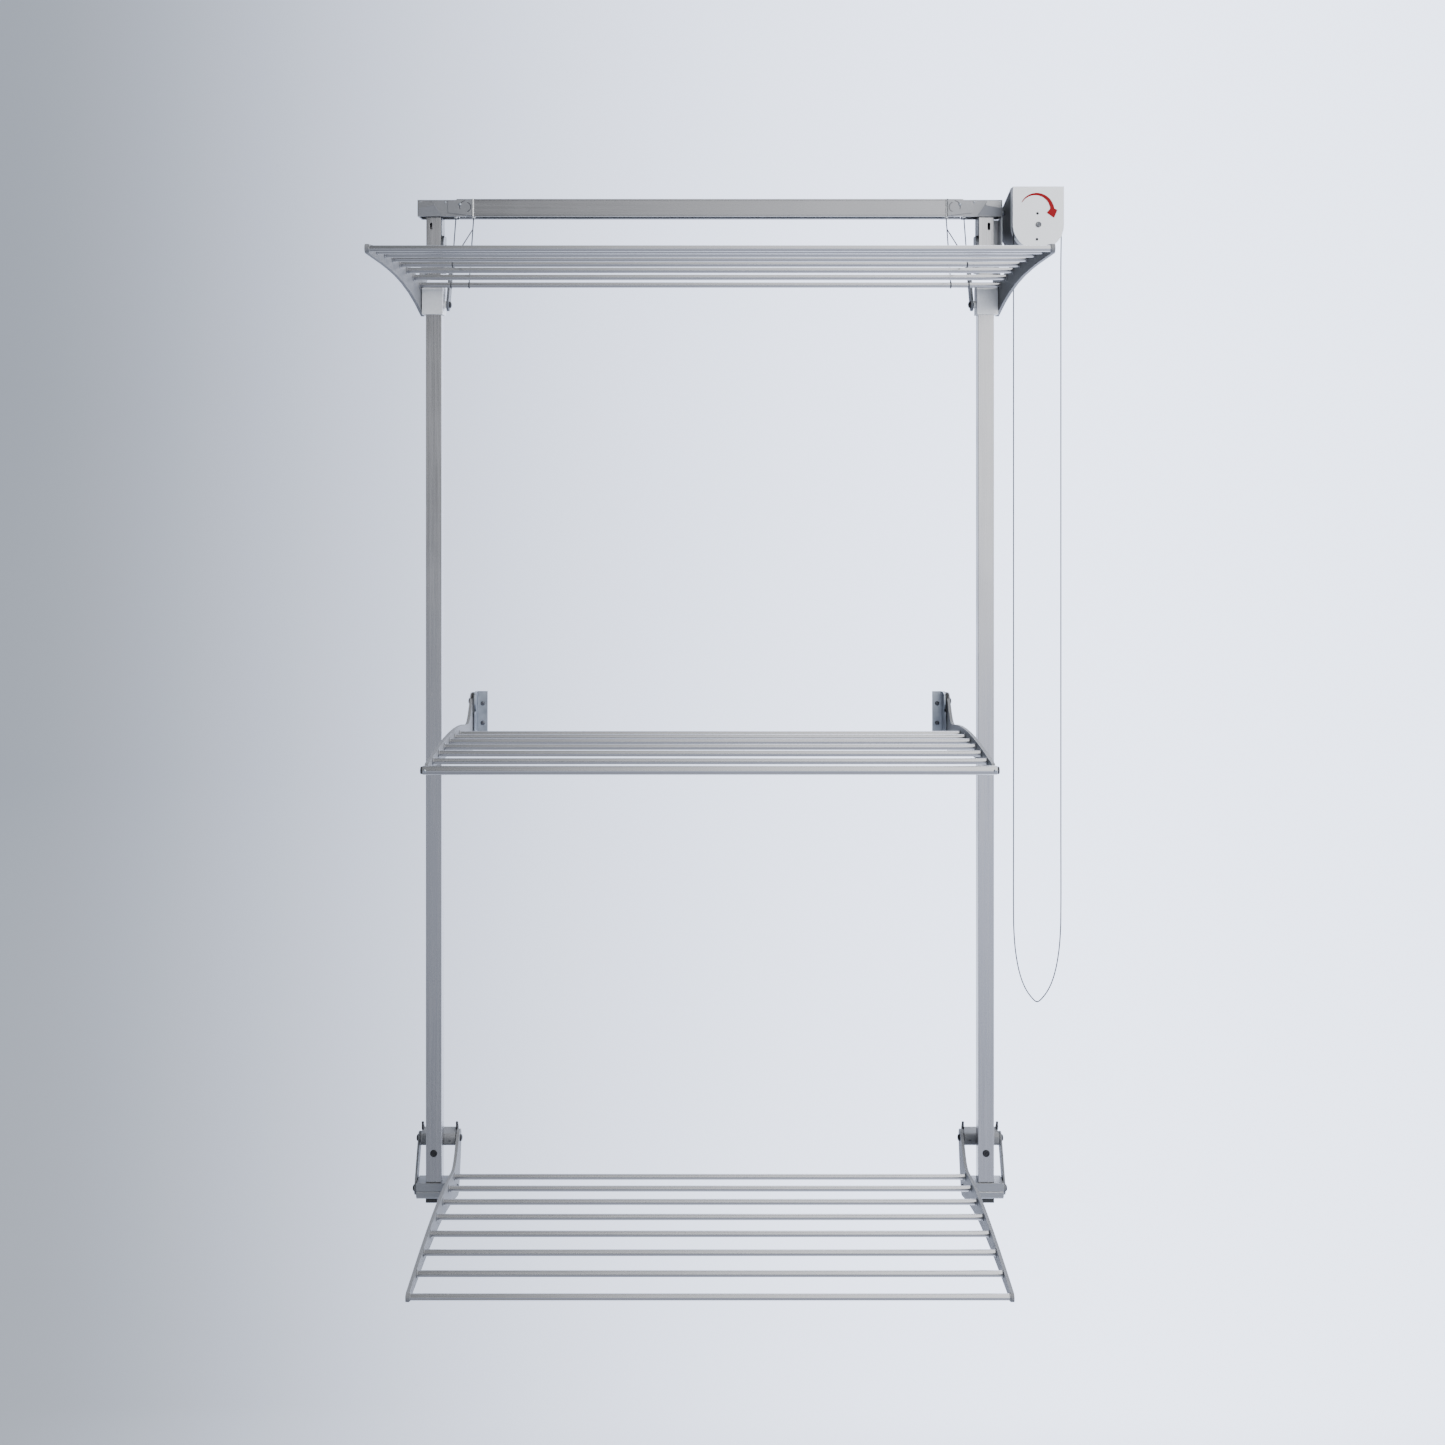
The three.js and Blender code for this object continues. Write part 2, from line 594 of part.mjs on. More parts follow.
// Spool with two windings: end flanges and one in the middle.
function spoolGeometry() {
  const bore = SHAFT_RADIUS + GAP;
  const flange = 1.5;
  const profile = [
    [bore, -SPOOL_HALF_WIDTH],
    [SPOOL_FLANGE_RADIUS, -SPOOL_HALF_WIDTH],
    [SPOOL_FLANGE_RADIUS, -SPOOL_HALF_WIDTH + flange],
    [SPOOL_CORE_RADIUS, -SPOOL_HALF_WIDTH + flange],
    [SPOOL_CORE_RADIUS, -flange / 2],
    [SPOOL_FLANGE_RADIUS, -flange / 2],
    [SPOOL_FLANGE_RADIUS, flange / 2],
    [SPOOL_CORE_RADIUS, flange / 2],
    [SPOOL_CORE_RADIUS, SPOOL_HALF_WIDTH - flange],
    [SPOOL_FLANGE_RADIUS, SPOOL_HALF_WIDTH - flange],
    [SPOOL_FLANGE_RADIUS, SPOOL_HALF_WIDTH],
    [bore, SPOOL_HALF_WIDTH],
    [bore, -SPOOL_HALF_WIDTH],
  ];
  const points = profile.map(([r, y]) => new THREE.Vector2(r, y));
  return new THREE.LatheGeometry(points, 16).rotateZ(Math.PI / 2);
}

// A round cord along a path, with flat ends.
function cordGeometry(path, radius, steps) {
  const section = new THREE.Shape();
  const sides = 8;
  for (let side = 0; side < sides; side += 1) {
    const angle = Math.PI * 2 * side / sides;
    const point = [radius * Math.cos(angle), radius * Math.sin(angle)];
    if (side === 0) {
      section.moveTo(...point);
    } else {
      section.lineTo(...point);
    }
  }
  section.closePath();
  return new THREE.ExtrudeGeometry(section, { steps, extrudePath: path });
}

// The pull cord hangs in a loop: half the drop as distances from its middle and heights, then
// its mirror image, then over the wheel.
function pullCordPath() {
  const drop = [
    [WHEEL_PITCH_RADIUS, DRIVE_Z],
    [WHEEL_PITCH_RADIUS, -130],
    [WHEEL_PITCH_RADIUS, -400],
    [WHEEL_PITCH_RADIUS, -700],
    [WHEEL_PITCH_RADIUS, -1000],
    [WHEEL_PITCH_RADIUS, -1250],
    [WHEEL_PITCH_RADIUS, -1400],
    [46, -1440],
    [42.5, -1482],
    [35, -1522],
    [25, -1550],
    [13, -1569],
    [0, PULL_CORD_LOW_Z],
  ];
  const wrapSteps = 9;
  const wrapGap = 0.06;
  const points = drop.map(([fromMiddle, z]) => new THREE.Vector3(DRIVE_X - fromMiddle, -WHEEL_FORWARD, z));
  for (const [fromMiddle, z] of drop.slice(0, -1).reverse()) {
    points.push(new THREE.Vector3(DRIVE_X + fromMiddle, -WHEEL_FORWARD, z));
  }
  for (let step = 1; step <= wrapSteps; step += 1) {
    const angle = (Math.PI - wrapGap) * step / wrapSteps;
    const x = DRIVE_X + WHEEL_PITCH_RADIUS * Math.cos(angle);
    points.push(new THREE.Vector3(x, -WHEEL_FORWARD, DRIVE_Z + WHEEL_PITCH_RADIUS * Math.sin(angle)));
  }
  return points;
}

// A smooth curve through the points, kept as straight steps, with as many in each span between two.
class CordCurve extends THREE.Curve {
  constructor(points, stepsPerSpan) {
    super();
    const smooth = new THREE.CatmullRomCurve3(points, false, 'centripetal');
    const spans = points.length - 1;
    this.samples = [];
    for (let index = 0; index <= spans * stepsPerSpan; index += 1) {
      this.samples.push(smooth.getPoint(index / (spans * stepsPerSpan)));
    }
  }

  getPoint(t, target = new THREE.Vector3()) {
    const place = t * (this.samples.length - 1);
    const index = Math.min(Math.floor(place), this.samples.length - 2);
    return target.lerpVectors(this.samples[index], this.samples[index + 1], place - index);
  }

  getPointAt(t, target) {
    return this.getPoint(t, target);
  }

  getTangentAt(t, target) {
    return this.getTangent(t, target);
  }
}

// Straight run of the inner lift cord, from under the bar to the top of the fourth rod.
function liftCordGeometry(side) {
  const rodReach = ARM_REACH - 4 * ROD_PITCH;
  const startForward = SHAFT_FORWARD + SPOOL_CORE_RADIUS + LIFT_CORD_RADIUS + GAP;
  const start = new THREE.Vector3(side * INNER_LIFT_CORD_X, -startForward, -BAR_HALF_HEIGHT - 1.5);
  const end = new THREE.Vector3(
    side * INNER_LIFT_CORD_X,
    -WALL_AXLE_FORWARD - rodReach,
    TOP_AXLE_Z + archHeight(rodReach) + ROD_RADIUS + LIFT_CORD_RADIUS + 1,
  );
  return cordGeometry(new THREE.LineCurve3(start, end), LIFT_CORD_RADIUS, 1);
}

// ---- assembly --------------------------------------------------------------------------------
const MATERIALS = {
  aluminium: new THREE.MeshStandardMaterial({ color: 0xb4b7ba, roughness: 0.38, metalness: 0.9 }),
  rod: new THREE.MeshStandardMaterial({ color: 0xc4c7ca, roughness: 0.3, metalness: 0.9 }),
  paint: new THREE.MeshStandardMaterial({ color: 0xa9acb0, roughness: 0.5, metalness: 0.4 }),
  plastic: new THREE.MeshStandardMaterial({ color: 0xd3d5d8, roughness: 0.55, metalness: 0 }),
  nylon: new THREE.MeshStandardMaterial({ color: 0xe8e8e4, roughness: 0.5, metalness: 0 }),
  steel: new THREE.MeshStandardMaterial({ color: 0x8d9094, roughness: 0.35, metalness: 1 }),
  rubber: new THREE.MeshStandardMaterial({ color: 0x17181a, roughness: 0.85, metalness: 0 }),
  cord: new THREE.MeshStandardMaterial({ color: 0xa5a8ac, roughness: 0.9, metalness: 0 }),
};

const rack = new THREE.Group();

function place(parent, name, geometry, material) {
  const mesh = new THREE.Mesh(geometry, MATERIALS[material]);
  mesh.name = name;
  parent.add(mesh);
  return mesh;
}

function addShelf(name, axleZ, armInner, rods, tipReach) {
  const shelf = new THREE.Group();
  shelf.position.set(0, -WALL_AXLE_FORWARD, axleZ);
  rack.add(shelf);
  for (const [word, side] of [['left', -1], ['right', 1]]) {
    place(shelf, `${name}_${word}_arm`, geometryOf(arm(side, armInner, tipReach)), 'paint');
  }
  rods.forEach((rod, index) => {
    const mesh = place(shelf, rod.name ?? `${name}_rod_${index + 1}`,
      rodGeometry(rod.radius, rod.halfLength ?? armInner - GAP), 'rod');
    mesh.position.set(0, -rod.reach, archHeight(rod.reach));
  });
  return shelf;
}

function evenRods(count, pitch, lastReach) {
  const rods = [];
  for (let index = 0; index < count; index += 1) {
    rods.push({ reach: lastReach - pitch * (count - 1 - index), radius: ROD_RADIUS });
  }
  return rods;
}

place(rack, 'top_bar', geometryOf(topBar()), 'aluminium');
for (const [word, side] of [['left', -1], ['right', 1]]) {
  place(rack, `${word}_end_bracket`, geometryOf(endBracket(side)), 'paint');
  place(rack, `${word}_leg`, geometryOf(leg(side)), 'aluminium');
  place(rack, `mid_${word}_wall_bracket`, geometryOf(midWallBracket(side)), 'steel');
  place(rack, `bottom_${word}_wall_bracket`, geometryOf(bottomWallBracket(side)), 'paint');
  place(rack, `${word}_upright`, geometryOf(upright(side)), 'aluminium');
  place(rack, `${word}_sleeve`, geometryOf(sleeve(side)), 'paint');
  place(rack, `${word}_foot_crosspiece`, geometryOf(footCrosspiece(side)), 'paint');
  place(rack, `${word}_foot_pad`, geometryOf(footPad(side)), 'rubber');
  place(rack, `${word}_lift_cord`, liftCordGeometry(side), 'cord');
  const spool = place(rack, `${word}_spool`, spoolGeometry(), 'nylon');
  spool.position.set(side * SPOOL_X, -SHAFT_FORWARD, SHAFT_Z);
}

const longRods = evenRods(8, ROD_PITCH, ARM_REACH);
const midRods = evenRods(7, MID_ROD_PITCH, MID_RAIL_REACH);
midRods[midRods.length - 1] = {
  reach: MID_RAIL_REACH,
  radius: MID_RAIL_RADIUS,
  halfLength: MID_RAIL_HALF_LENGTH,
  name: 'mid_front_rail',
};
const topShelf = addShelf('top', TOP_AXLE_Z, TOP_ARM_INNER, longRods, ARM_REACH);
addShelf('mid', MID_AXLE_Z, MID_ARM_INNER, midRods, MID_ARM_TIP_REACH);
const bottomShelf = addShelf('bottom', BOTTOM_AXLE_Z, BOTTOM_ARM_INNER, longRods, ARM_REACH);
for (const [word, side] of [['left', -1], ['right', 1]]) {
  place(topShelf, `top_${word}_link`, geometryOf(link(side, TOP_LINK_INNER, TOP_LINK_OUTER)), 'steel');
  place(bottomShelf, `bottom_${word}_link`,
    geometryOf(link(side, BOTTOM_LINK_INNER, BOTTOM_LINK_OUTER)), 'steel');
}

place(rack, 'drive_housing', geometryOf(driveHousing()), 'plastic');
place(rack, 'drive_cover', geometryOf(driveCover()), 'plastic');
place(rack, 'drive_shaft', geometryOf(driveShaft()), 'steel');
place(rack, 'worm_shaft', geometryOf(wormShaft()), 'steel');
const cordWheel = place(rack, 'cord_wheel', cordWheelGeometry(), 'nylon');
cordWheel.position.set(DRIVE_X, -WHEEL_FORWARD, DRIVE_Z);
const cordCurve = new CordCurve(pullCordPath(), 2);
place(rack, 'pull_cord', cordGeometry(cordCurve, PULL_CORD_RADIUS, cordCurve.samples.length - 1), 'cord');

export default rack;
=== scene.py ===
import json
import math

import bmesh
import bpy
from mathutils import Matrix, Vector


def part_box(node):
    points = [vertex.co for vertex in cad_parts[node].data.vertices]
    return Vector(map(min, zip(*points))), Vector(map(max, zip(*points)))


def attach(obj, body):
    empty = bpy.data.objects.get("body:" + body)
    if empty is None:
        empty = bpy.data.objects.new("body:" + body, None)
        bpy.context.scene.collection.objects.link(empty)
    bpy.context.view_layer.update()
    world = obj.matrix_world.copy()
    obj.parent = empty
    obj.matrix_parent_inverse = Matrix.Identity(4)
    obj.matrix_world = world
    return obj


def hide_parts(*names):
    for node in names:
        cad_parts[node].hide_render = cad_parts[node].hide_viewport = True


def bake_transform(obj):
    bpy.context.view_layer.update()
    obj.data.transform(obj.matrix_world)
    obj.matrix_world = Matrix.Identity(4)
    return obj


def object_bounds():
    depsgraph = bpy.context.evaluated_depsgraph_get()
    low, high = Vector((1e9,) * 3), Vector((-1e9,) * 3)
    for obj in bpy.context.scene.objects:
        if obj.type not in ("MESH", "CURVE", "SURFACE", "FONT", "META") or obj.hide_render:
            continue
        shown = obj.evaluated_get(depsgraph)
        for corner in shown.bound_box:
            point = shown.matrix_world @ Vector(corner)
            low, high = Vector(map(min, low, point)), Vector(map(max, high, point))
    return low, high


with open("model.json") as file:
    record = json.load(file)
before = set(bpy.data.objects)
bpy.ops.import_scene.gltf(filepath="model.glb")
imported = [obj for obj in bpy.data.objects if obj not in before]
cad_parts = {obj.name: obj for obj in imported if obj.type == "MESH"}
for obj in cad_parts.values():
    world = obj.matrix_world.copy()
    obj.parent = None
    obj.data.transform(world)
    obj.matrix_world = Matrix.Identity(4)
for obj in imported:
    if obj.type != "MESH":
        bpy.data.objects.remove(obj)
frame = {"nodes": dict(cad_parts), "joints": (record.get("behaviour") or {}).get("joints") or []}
CAD_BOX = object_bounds()

MM = 0.001
WALL = "wall_fixings"
SWING = "swinging_frame"
SHELF_BODY = {"top": "top_shelf", "mid": "mid_shelf", "bottom": "bottom_shelf"}
SIDES = (("left", -1), ("right", 1))
JOINT_AT = {joint["name"]: Vector(joint["pos_m"]) for joint in frame["joints"]}
ALONG_X = Vector((1, 0, 0))
TOWARDS_ROOM = Vector((0, -1, 0))

# Places that several pieces share. Spans and X are distances from the middle plane.
UNDER_BAR = -19 * MM
SLEEVE_SPAN = (533.5 * MM, 575.5 * MM)
FOOT_SPAN = (516 * MM, 586.5 * MM)
LIFT_CORD_X = (478.5 * MM, 514.5 * MM)
LIFT_CORD_FORWARD = 37.8 * MM
CORD_RADIUS = 1.2 * MM


def add_to_scene(item):
    """Links an object to the scene, so that it is rendered."""
    bpy.context.scene.collection.objects.link(item)


# ---- camera, light and floor -----------------------------------------------------------------
def make_camera():
    """Looks straight at the wall from above the middle shelf, with the frame shifted down."""
    data = bpy.data.cameras.new("camera")
    data.sensor_width = 36.0
    data.lens = 41.1
    data.shift_x = 0.0087
    data.shift_y = -0.185
    data.clip_end = 60.0
    camera = bpy.data.objects.new("camera", data)
    camera.location = (0.0, -3.38, -0.5)
    camera.rotation_euler = (math.radians(90), 0.0, 0.0)
    add_to_scene(camera)
    bpy.context.scene.camera = camera


def make_area_light(name, location, target, size, energy, color):
    """A rectangular lamp aimed at a point."""
    data = bpy.data.lights.new(name, "AREA")
    data.shape = "RECTANGLE"
    data.size, data.size_y = size
    data.energy = energy
    data.color = color
    light = bpy.data.objects.new(name, data)
    light.location = location
    aim = Vector(target) - Vector(location)
    light.rotation_euler = aim.to_track_quat("-Z", "Y").to_euler()
    add_to_scene(light)


def remap(nodes, links, value, from_low, from_high, to_low=0.0, to_high=1.0):
    """A value carried from one range to another, and held at its ends."""
    scale = nodes.new("ShaderNodeMapRange")
    scale.inputs["From Min"].default_value = from_low
    scale.inputs["From Max"].default_value = from_high
    scale.inputs["To Min"].default_value = to_low
    scale.inputs["To Max"].default_value = to_high
    links.new(value, scale.inputs["Value"])
    return scale.outputs["Result"]


def calculate(nodes, links, operation, *values):
    """The result of a maths node on sockets and plain numbers."""
    node = nodes.new("ShaderNodeMath")
    node.operation = operation
    for socket, value in zip(node.inputs, values):
        if isinstance(value, bpy.types.NodeSocket):
            links.new(value, socket)
        else:
            socket.default_value = value
    return node.outputs["Value"]


def make_gradient(nodes, links, value, start, end, stops):
    """A colour ramp driven by a value that runs from start to end."""
    ramp = nodes.new("ShaderNodeValToRGB")
    ramp.color_ramp.interpolation = "EASE"
    elements = ramp.color_ramp.elements
    while len(elements) < len(stops):
        elements.new(0.5)
    for element, (position, color) in zip(elements, stops):
        element.position = position
        element.color = (*color, 1)
    links.new(remap(nodes, links, value, start, end), ramp.inputs["Fac"])
    return ramp.outputs["Color"]


def make_lights():
    """Soft daylight from the right: a large key light, a weak fill, and a sky that is brighter
    towards the right."""
    middle = (0.0, -0.2, -0.95)
    right_half = (0.5, -0.1, -0.8)
    make_area_light("key", (2.5, -2.1, 0.9), right_half, (1.4, 2.4), 130, (1.0, 0.985, 0.965))
    make_area_light("fill", (-3.6, -3.4, -0.4), middle, (2.6, 2.6), 8, (0.9, 0.95, 1.0))
    make_area_light("back", (1.5, 3.6, 1.4), middle, (3.0, 2.0), 60, (1.0, 1.0, 1.0))
    world = bpy.data.worlds.new("studio")
    bpy.context.scene.world = world
    world.use_nodes = True
    nodes = world.node_tree.nodes
    links = world.node_tree.links
    nodes.clear()
    place = nodes.new("ShaderNodeTexCoord")
    split = nodes.new("ShaderNodeSeparateXYZ")
    links.new(place.outputs["Generated"], split.inputs[0])
    sky = make_gradient(
        nodes, links, split.outputs["X"], -0.26, 1.0,
        ((0.0, (0.055, 0.06, 0.068)), (0.40, (0.96, 0.985, 1.02)), (1.0, (0.17, 0.175, 0.185))),
    )
    background = nodes.new("ShaderNodeBackground")
    background.inputs["Strength"].default_value = 3.9
    output = nodes.new("ShaderNodeOutputWorld")
    links.new(sky, background.inputs["Color"])
    links.new(background.outputs["Background"], output.inputs["Surface"])


def make_painted_light_backdrop_material():
    """Pale and matt, with painted light: it glows though it is no lamp, its glow fans out and grows
    brighter from left to right as if lit from the right, and a painted shadow dims it in front of the
    rack.
    """
    material = bpy.data.materials.new("floor")
    material.use_nodes = True
    nodes = material.node_tree.nodes
    links = material.node_tree.links
    shader = nodes["Principled BSDF"]
    shader.inputs["Roughness"].default_value = 0.95
    shader.inputs["Base Color"].default_value = (0.14, 0.145, 0.15, 1)
    shader.inputs["Specular IOR Level"].default_value = 0.0
    place = nodes.new("ShaderNodeTexCoord")
    split = nodes.new("ShaderNodeSeparateXYZ")
    links.new(place.outputs["Object"], split.inputs[0])
    # The painted light fans out from a point this far in front of the wall.
    front = 3.4
    from_wall = calculate(nodes, links, "ABSOLUTE", split.outputs["Y"])
    reach = calculate(nodes, links, "ADD", from_wall, front)
    fan = calculate(nodes, links, "DIVIDE", split.outputs["X"], reach)
    # Painted light: the glow is darker on the left and brighter on the right, as if lit from the right.
    across = make_gradient(
        nodes, links, fan, -0.444, 0.282,
        ((0.0, (0.103, 0.116, 0.141)), (1.0, (1.10, 1.21, 1.52))),
    )
    # Painted shadow: a dimmer band on the floor in front of the rack, which shiny parts also reflect as
    # dark.
    painted_shadow_level = (0.34, 0.34, 0.34)
    painted_shadow_band = make_gradient(
        nodes, links, split.outputs["Y"], -front, 0.0,
        ((0.0, (0.55, 0.55, 0.55)), (0.40, painted_shadow_level), (0.78, painted_shadow_level), (1.0, (1, 1, 1))),
    )
    # The painted glow is emitted, so the floor shows the painted light and shadow under any lamp.
    painted_glow = nodes.new("ShaderNodeVectorMath")
    painted_glow.operation = "MULTIPLY"
    links.new(across, painted_glow.inputs[0])
    links.new(painted_shadow_band, painted_glow.inputs[1])
    links.new(painted_glow.outputs["Vector"], shader.inputs["Emission Color"])
    shader.inputs["Emission Strength"].default_value = 2.5
    return material


def make_floor():
    """A pale floor, glowing with painted light and shadow, that curves up far behind the rack."""
    floor_z = CAD_BOX[0][2] - 0.45
    near = -14.0
    far = 9.0
    bend = 2.5
    half_width = 22.0
    height = 14.0
    section = [(near, floor_z), (far - bend, floor_z)]
    for step in range(1, 13):
        angle = math.radians(90) * step / 12
        y = far - bend + bend * math.sin(angle)
        z = floor_z + bend * (1 - math.cos(angle))
        section.append((y, z))
    section.append((far, floor_z + height))
    sweep = bmesh.new()
    rows = [[sweep.verts.new((x, y, z)) for x in (-half_width, half_width)] for y, z in section]
    for low, high in zip(rows, rows[1:]):
        sweep.faces.new((low[0], low[1], high[1], high[0]))
    mesh = bpy.data.meshes.new("floor")
    sweep.to_mesh(mesh)
    sweep.free()
    for polygon in mesh.polygons:
        polygon.use_smooth = True
    floor = bpy.data.objects.new("floor", mesh)
    add_to_scene(floor)
    floor.data.materials.append(make_painted_light_backdrop_material())


# ---- materials ---------------------------------------------------------------------------------
def make_material(
    name, color, roughness, metallic=0.0, noise_scale=60, colour_variation=0.05, bump=0.0,
    bump_scale=800, bump_distance=0.0001, smudge=0.0, coat=0.0, specular=0.5,
):
    """A surface whose colour, gloss and relief vary in the object's own space.
    A scale is per metre, and may be given along X, Y and Z for a brushed or drawn grain."""
    material = bpy.data.materials.new(name)
    material.use_nodes = True
    nodes = material.node_tree.nodes
    links = material.node_tree.links
    shader = nodes["Principled BSDF"]
    shader.inputs["Metallic"].default_value = metallic
    shader.inputs["Coat Weight"].default_value = coat
    shader.inputs["Specular IOR Level"].default_value = specular
    place = nodes.new("ShaderNodeTexCoord")

    def noise(scale, detail):
        stretch = nodes.new("ShaderNodeMapping")
        stretch.inputs["Scale"].default_value = scale if isinstance(scale, tuple) else (scale,) * 3
        texture = nodes.new("ShaderNodeTexNoise")
        texture.inputs["Scale"].default_value = 1.0
        texture.inputs["Detail"].default_value = detail
        links.new(place.outputs["Object"], stretch.inputs["Vector"])
        links.new(stretch.outputs["Vector"], texture.inputs["Vector"])
        return texture.outputs["Fac"]

    grain = noise(noise_scale, 4.0)
    least = 1.0 - colour_variation
    most = 1.0 + colour_variation
    tint = remap(nodes, links, grain, 0.3, 0.7, least, most)
    shade = nodes.new("ShaderNodeVectorMath")
    shade.operation = "SCALE"
    shade.inputs[0].default_value = color
    links.new(tint, shade.inputs["Scale"])
    links.new(shade.outputs["Vector"], shader.inputs["Base Color"])

    spread = 0.06
    rough = remap(nodes, links, grain, 0.3, 0.7, roughness - spread, roughness + spread)
    if smudge > 0:
        patches = remap(nodes, links, noise(9, 3.0), 0.45, 0.7, 0.0, smudge)
        rough = calculate(nodes, links, "ADD", rough, patches)
    links.new(rough, shader.inputs["Roughness"])

    if bump > 0:
        relief = nodes.new("ShaderNodeBump")
        relief.inputs["Strength"].default_value = bump
        relief.inputs["Distance"].default_value = bump_distance
        links.new(noise(bump_scale, 3.0), relief.inputs["Height"])
        links.new(relief.outputs["Normal"], shader.inputs["Normal"])
    return material


def make_cord_material():
    """Braided cord: two crossing sets of diagonal strands."""
    material = make_material("braided_cord", (0.036, 0.037, 0.041), 0.85, colour_variation=0.15)
    nodes = material.node_tree.nodes
    links = material.node_tree.links
    shader = nodes["Principled BSDF"]
    place = nodes.new("ShaderNodeTexCoord")
    strands = []
    for turn in (-1, 1):
        lean = nodes.new("ShaderNodeMapping")
        lean.inputs["Rotation"].default_value = (math.radians(35) * turn, math.radians(35) * turn, 0)
        wave = nodes.new("ShaderNodeTexWave")
        wave.bands_direction = "Z"
        wave.inputs["Scale"].default_value = 260.0
        links.new(place.outputs["Object"], lean.inputs["Vector"])
        links.new(lean.outputs["Vector"], wave.inputs["Vector"])
        strands.append(wave.outputs["Fac"])
    weave = calculate(nodes, links, "MAXIMUM", *strands)
    relief = nodes.new("ShaderNodeBump")
    relief.inputs["Strength"].default_value = 0.7
    relief.inputs["Distance"].default_value = 0.0003
    links.new(weave, relief.inputs["Height"])
    links.new(relief.outputs["Normal"], shader.inputs["Normal"])
    return material


DRAWN_ALONG_X = dict(noise_scale=(5, 420, 420), bump_scale=(9, 1500, 1500))
DRAWN_ALONG_Z = dict(noise_scale=(420, 420, 5), bump_scale=(1500, 1500, 9))
ANODISED = dict(metallic=1.0, bump=0.10, smudge=0.05, colour_variation=0.035)
PAINTED = dict(bump_distance=0.00015, smudge=0.06)

MATERIALS = {
    "bar": make_material("anodised_bar", (0.215, 0.212, 0.216), 0.25, **ANODISED, **DRAWN_ALONG_X),
    "upright": make_material("anodised_upright", (0.325, 0.319, 0.323), 0.25, **ANODISED, **DRAWN_ALONG_Z),
    "rod": make_material("anodised_rod", (0.325, 0.321, 0.325), 0.17, **ANODISED, **DRAWN_ALONG_X),
    "paint": make_material(
        "silver_paint", (0.21, 0.213, 0.221), 0.40, metallic=0.8, noise_scale=350,
        bump=0.22, bump_scale=900, coat=0.08, **PAINTED,
    ),
    "arm": make_material(
        "arm_paint", (0.135, 0.137, 0.144), 0.55, metallic=0.25, noise_scale=350,
        bump=0.2, bump_scale=900, specular=0.2, **PAINTED,
    ),
    "housing": make_material(
        "dark_grey_plastic", (0.06, 0.061, 0.067), 0.6, noise_scale=30, colour_variation=0.04,
        bump=0.2, bump_scale=1500, bump_distance=0.00012, smudge=0.05, specular=0.2,
    ),
    "link": make_material(
        "link_steel", (0.10, 0.104, 0.112), 0.5, metallic=0.3, noise_scale=140,
        colour_variation=0.1, bump=0.12, smudge=0.06, specular=0.2,
    ),
    "bracket": make_material(
        "bracket_paint", (0.185, 0.187, 0.195), 0.40, metallic=0.8, noise_scale=300,
        bump=0.2, bump_scale=800, **PAINTED,
    ),
    "sleeve": make_material(
        "cast_silver", (0.58, 0.585, 0.59), 0.46, metallic=0.4, noise_scale=240,
        bump=0.25, bump_scale=700, bump_distance=0.0002, smudge=0.05,
    ),
    "steel": make_material(
        "zinc_steel", (0.27, 0.292, 0.325), 0.36, metallic=0.95, noise_scale=90,
        colour_variation=0.10, bump=0.12, bump_scale=(1200, 1200, 60), smudge=0.08,
    ),
    "dark_steel": make_material(
        "dark_steel", (0.08, 0.083, 0.092), 0.42, metallic=0.8, noise_scale=140,
        colour_variation=0.12, bump=0.12, smudge=0.06,
    ),
    "black": make_material(
        "black_oxide", (0.018, 0.018, 0.02), 0.38, metallic=0.6, noise_scale=300,
        colour_variation=0.2, bump=0.1,
    ),
    "plastic": make_material(
        "grey_plastic", (0.58, 0.59, 0.60), 0.48, noise_scale=30, colour_variation=0.02,
        bump=0.18, bump_scale=1600, bump_distance=0.00012, smudge=0.04,
    ),
    "nylon": make_material(
        "white_nylon", (0.76, 0.76, 0.74), 0.42, noise_scale=40, colour_variation=0.03,
        bump=0.1, bump_scale=1000,
    ),
    "rubber": make_material(
        "black_rubber", (0.016, 0.016, 0.017), 0.8, noise_scale=200, colour_variation=0.2,
        bump=0.3, bump_scale=1800, bump_distance=0.0002,
    ),
    "red": make_material(
        "red_print", (0.17, 0.0, 0.003), 0.6, noise_scale=120, colour_variation=0.06,
        bump=0.05, specular=0.12,
    ),
    "cord": make_cord_material(),
}


# ---- pieces ------------------------------------------------------------------------------------
def make_piece(name, shape, material, body):
    """Turns a bmesh into an object that rides on a body, smooth but for its sharp edges.
    It takes the material that its key names."""
    bmesh.ops.recalc_face_normals(shape, faces=shape.faces)
    limit = math.radians(38)
    for face in shape.faces:
        face.smooth = True
    for edge in shape.edges:
        edge.smooth = len(edge.link_faces) == 2 and edge.calc_face_angle(0.0) < limit
    mesh = bpy.data.meshes.new(name)
    shape.to_mesh(mesh)
    shape.free()
    piece = bpy.data.objects.new(name, mesh)
    add_to_scene(piece)
    piece.data.materials.append(MATERIALS[material])
    normals = piece.modifiers.new("weighted_normals", "WEIGHTED_NORMAL")
    normals.keep_sharp = True
    if body is not None:
        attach(piece, body)
    return piece


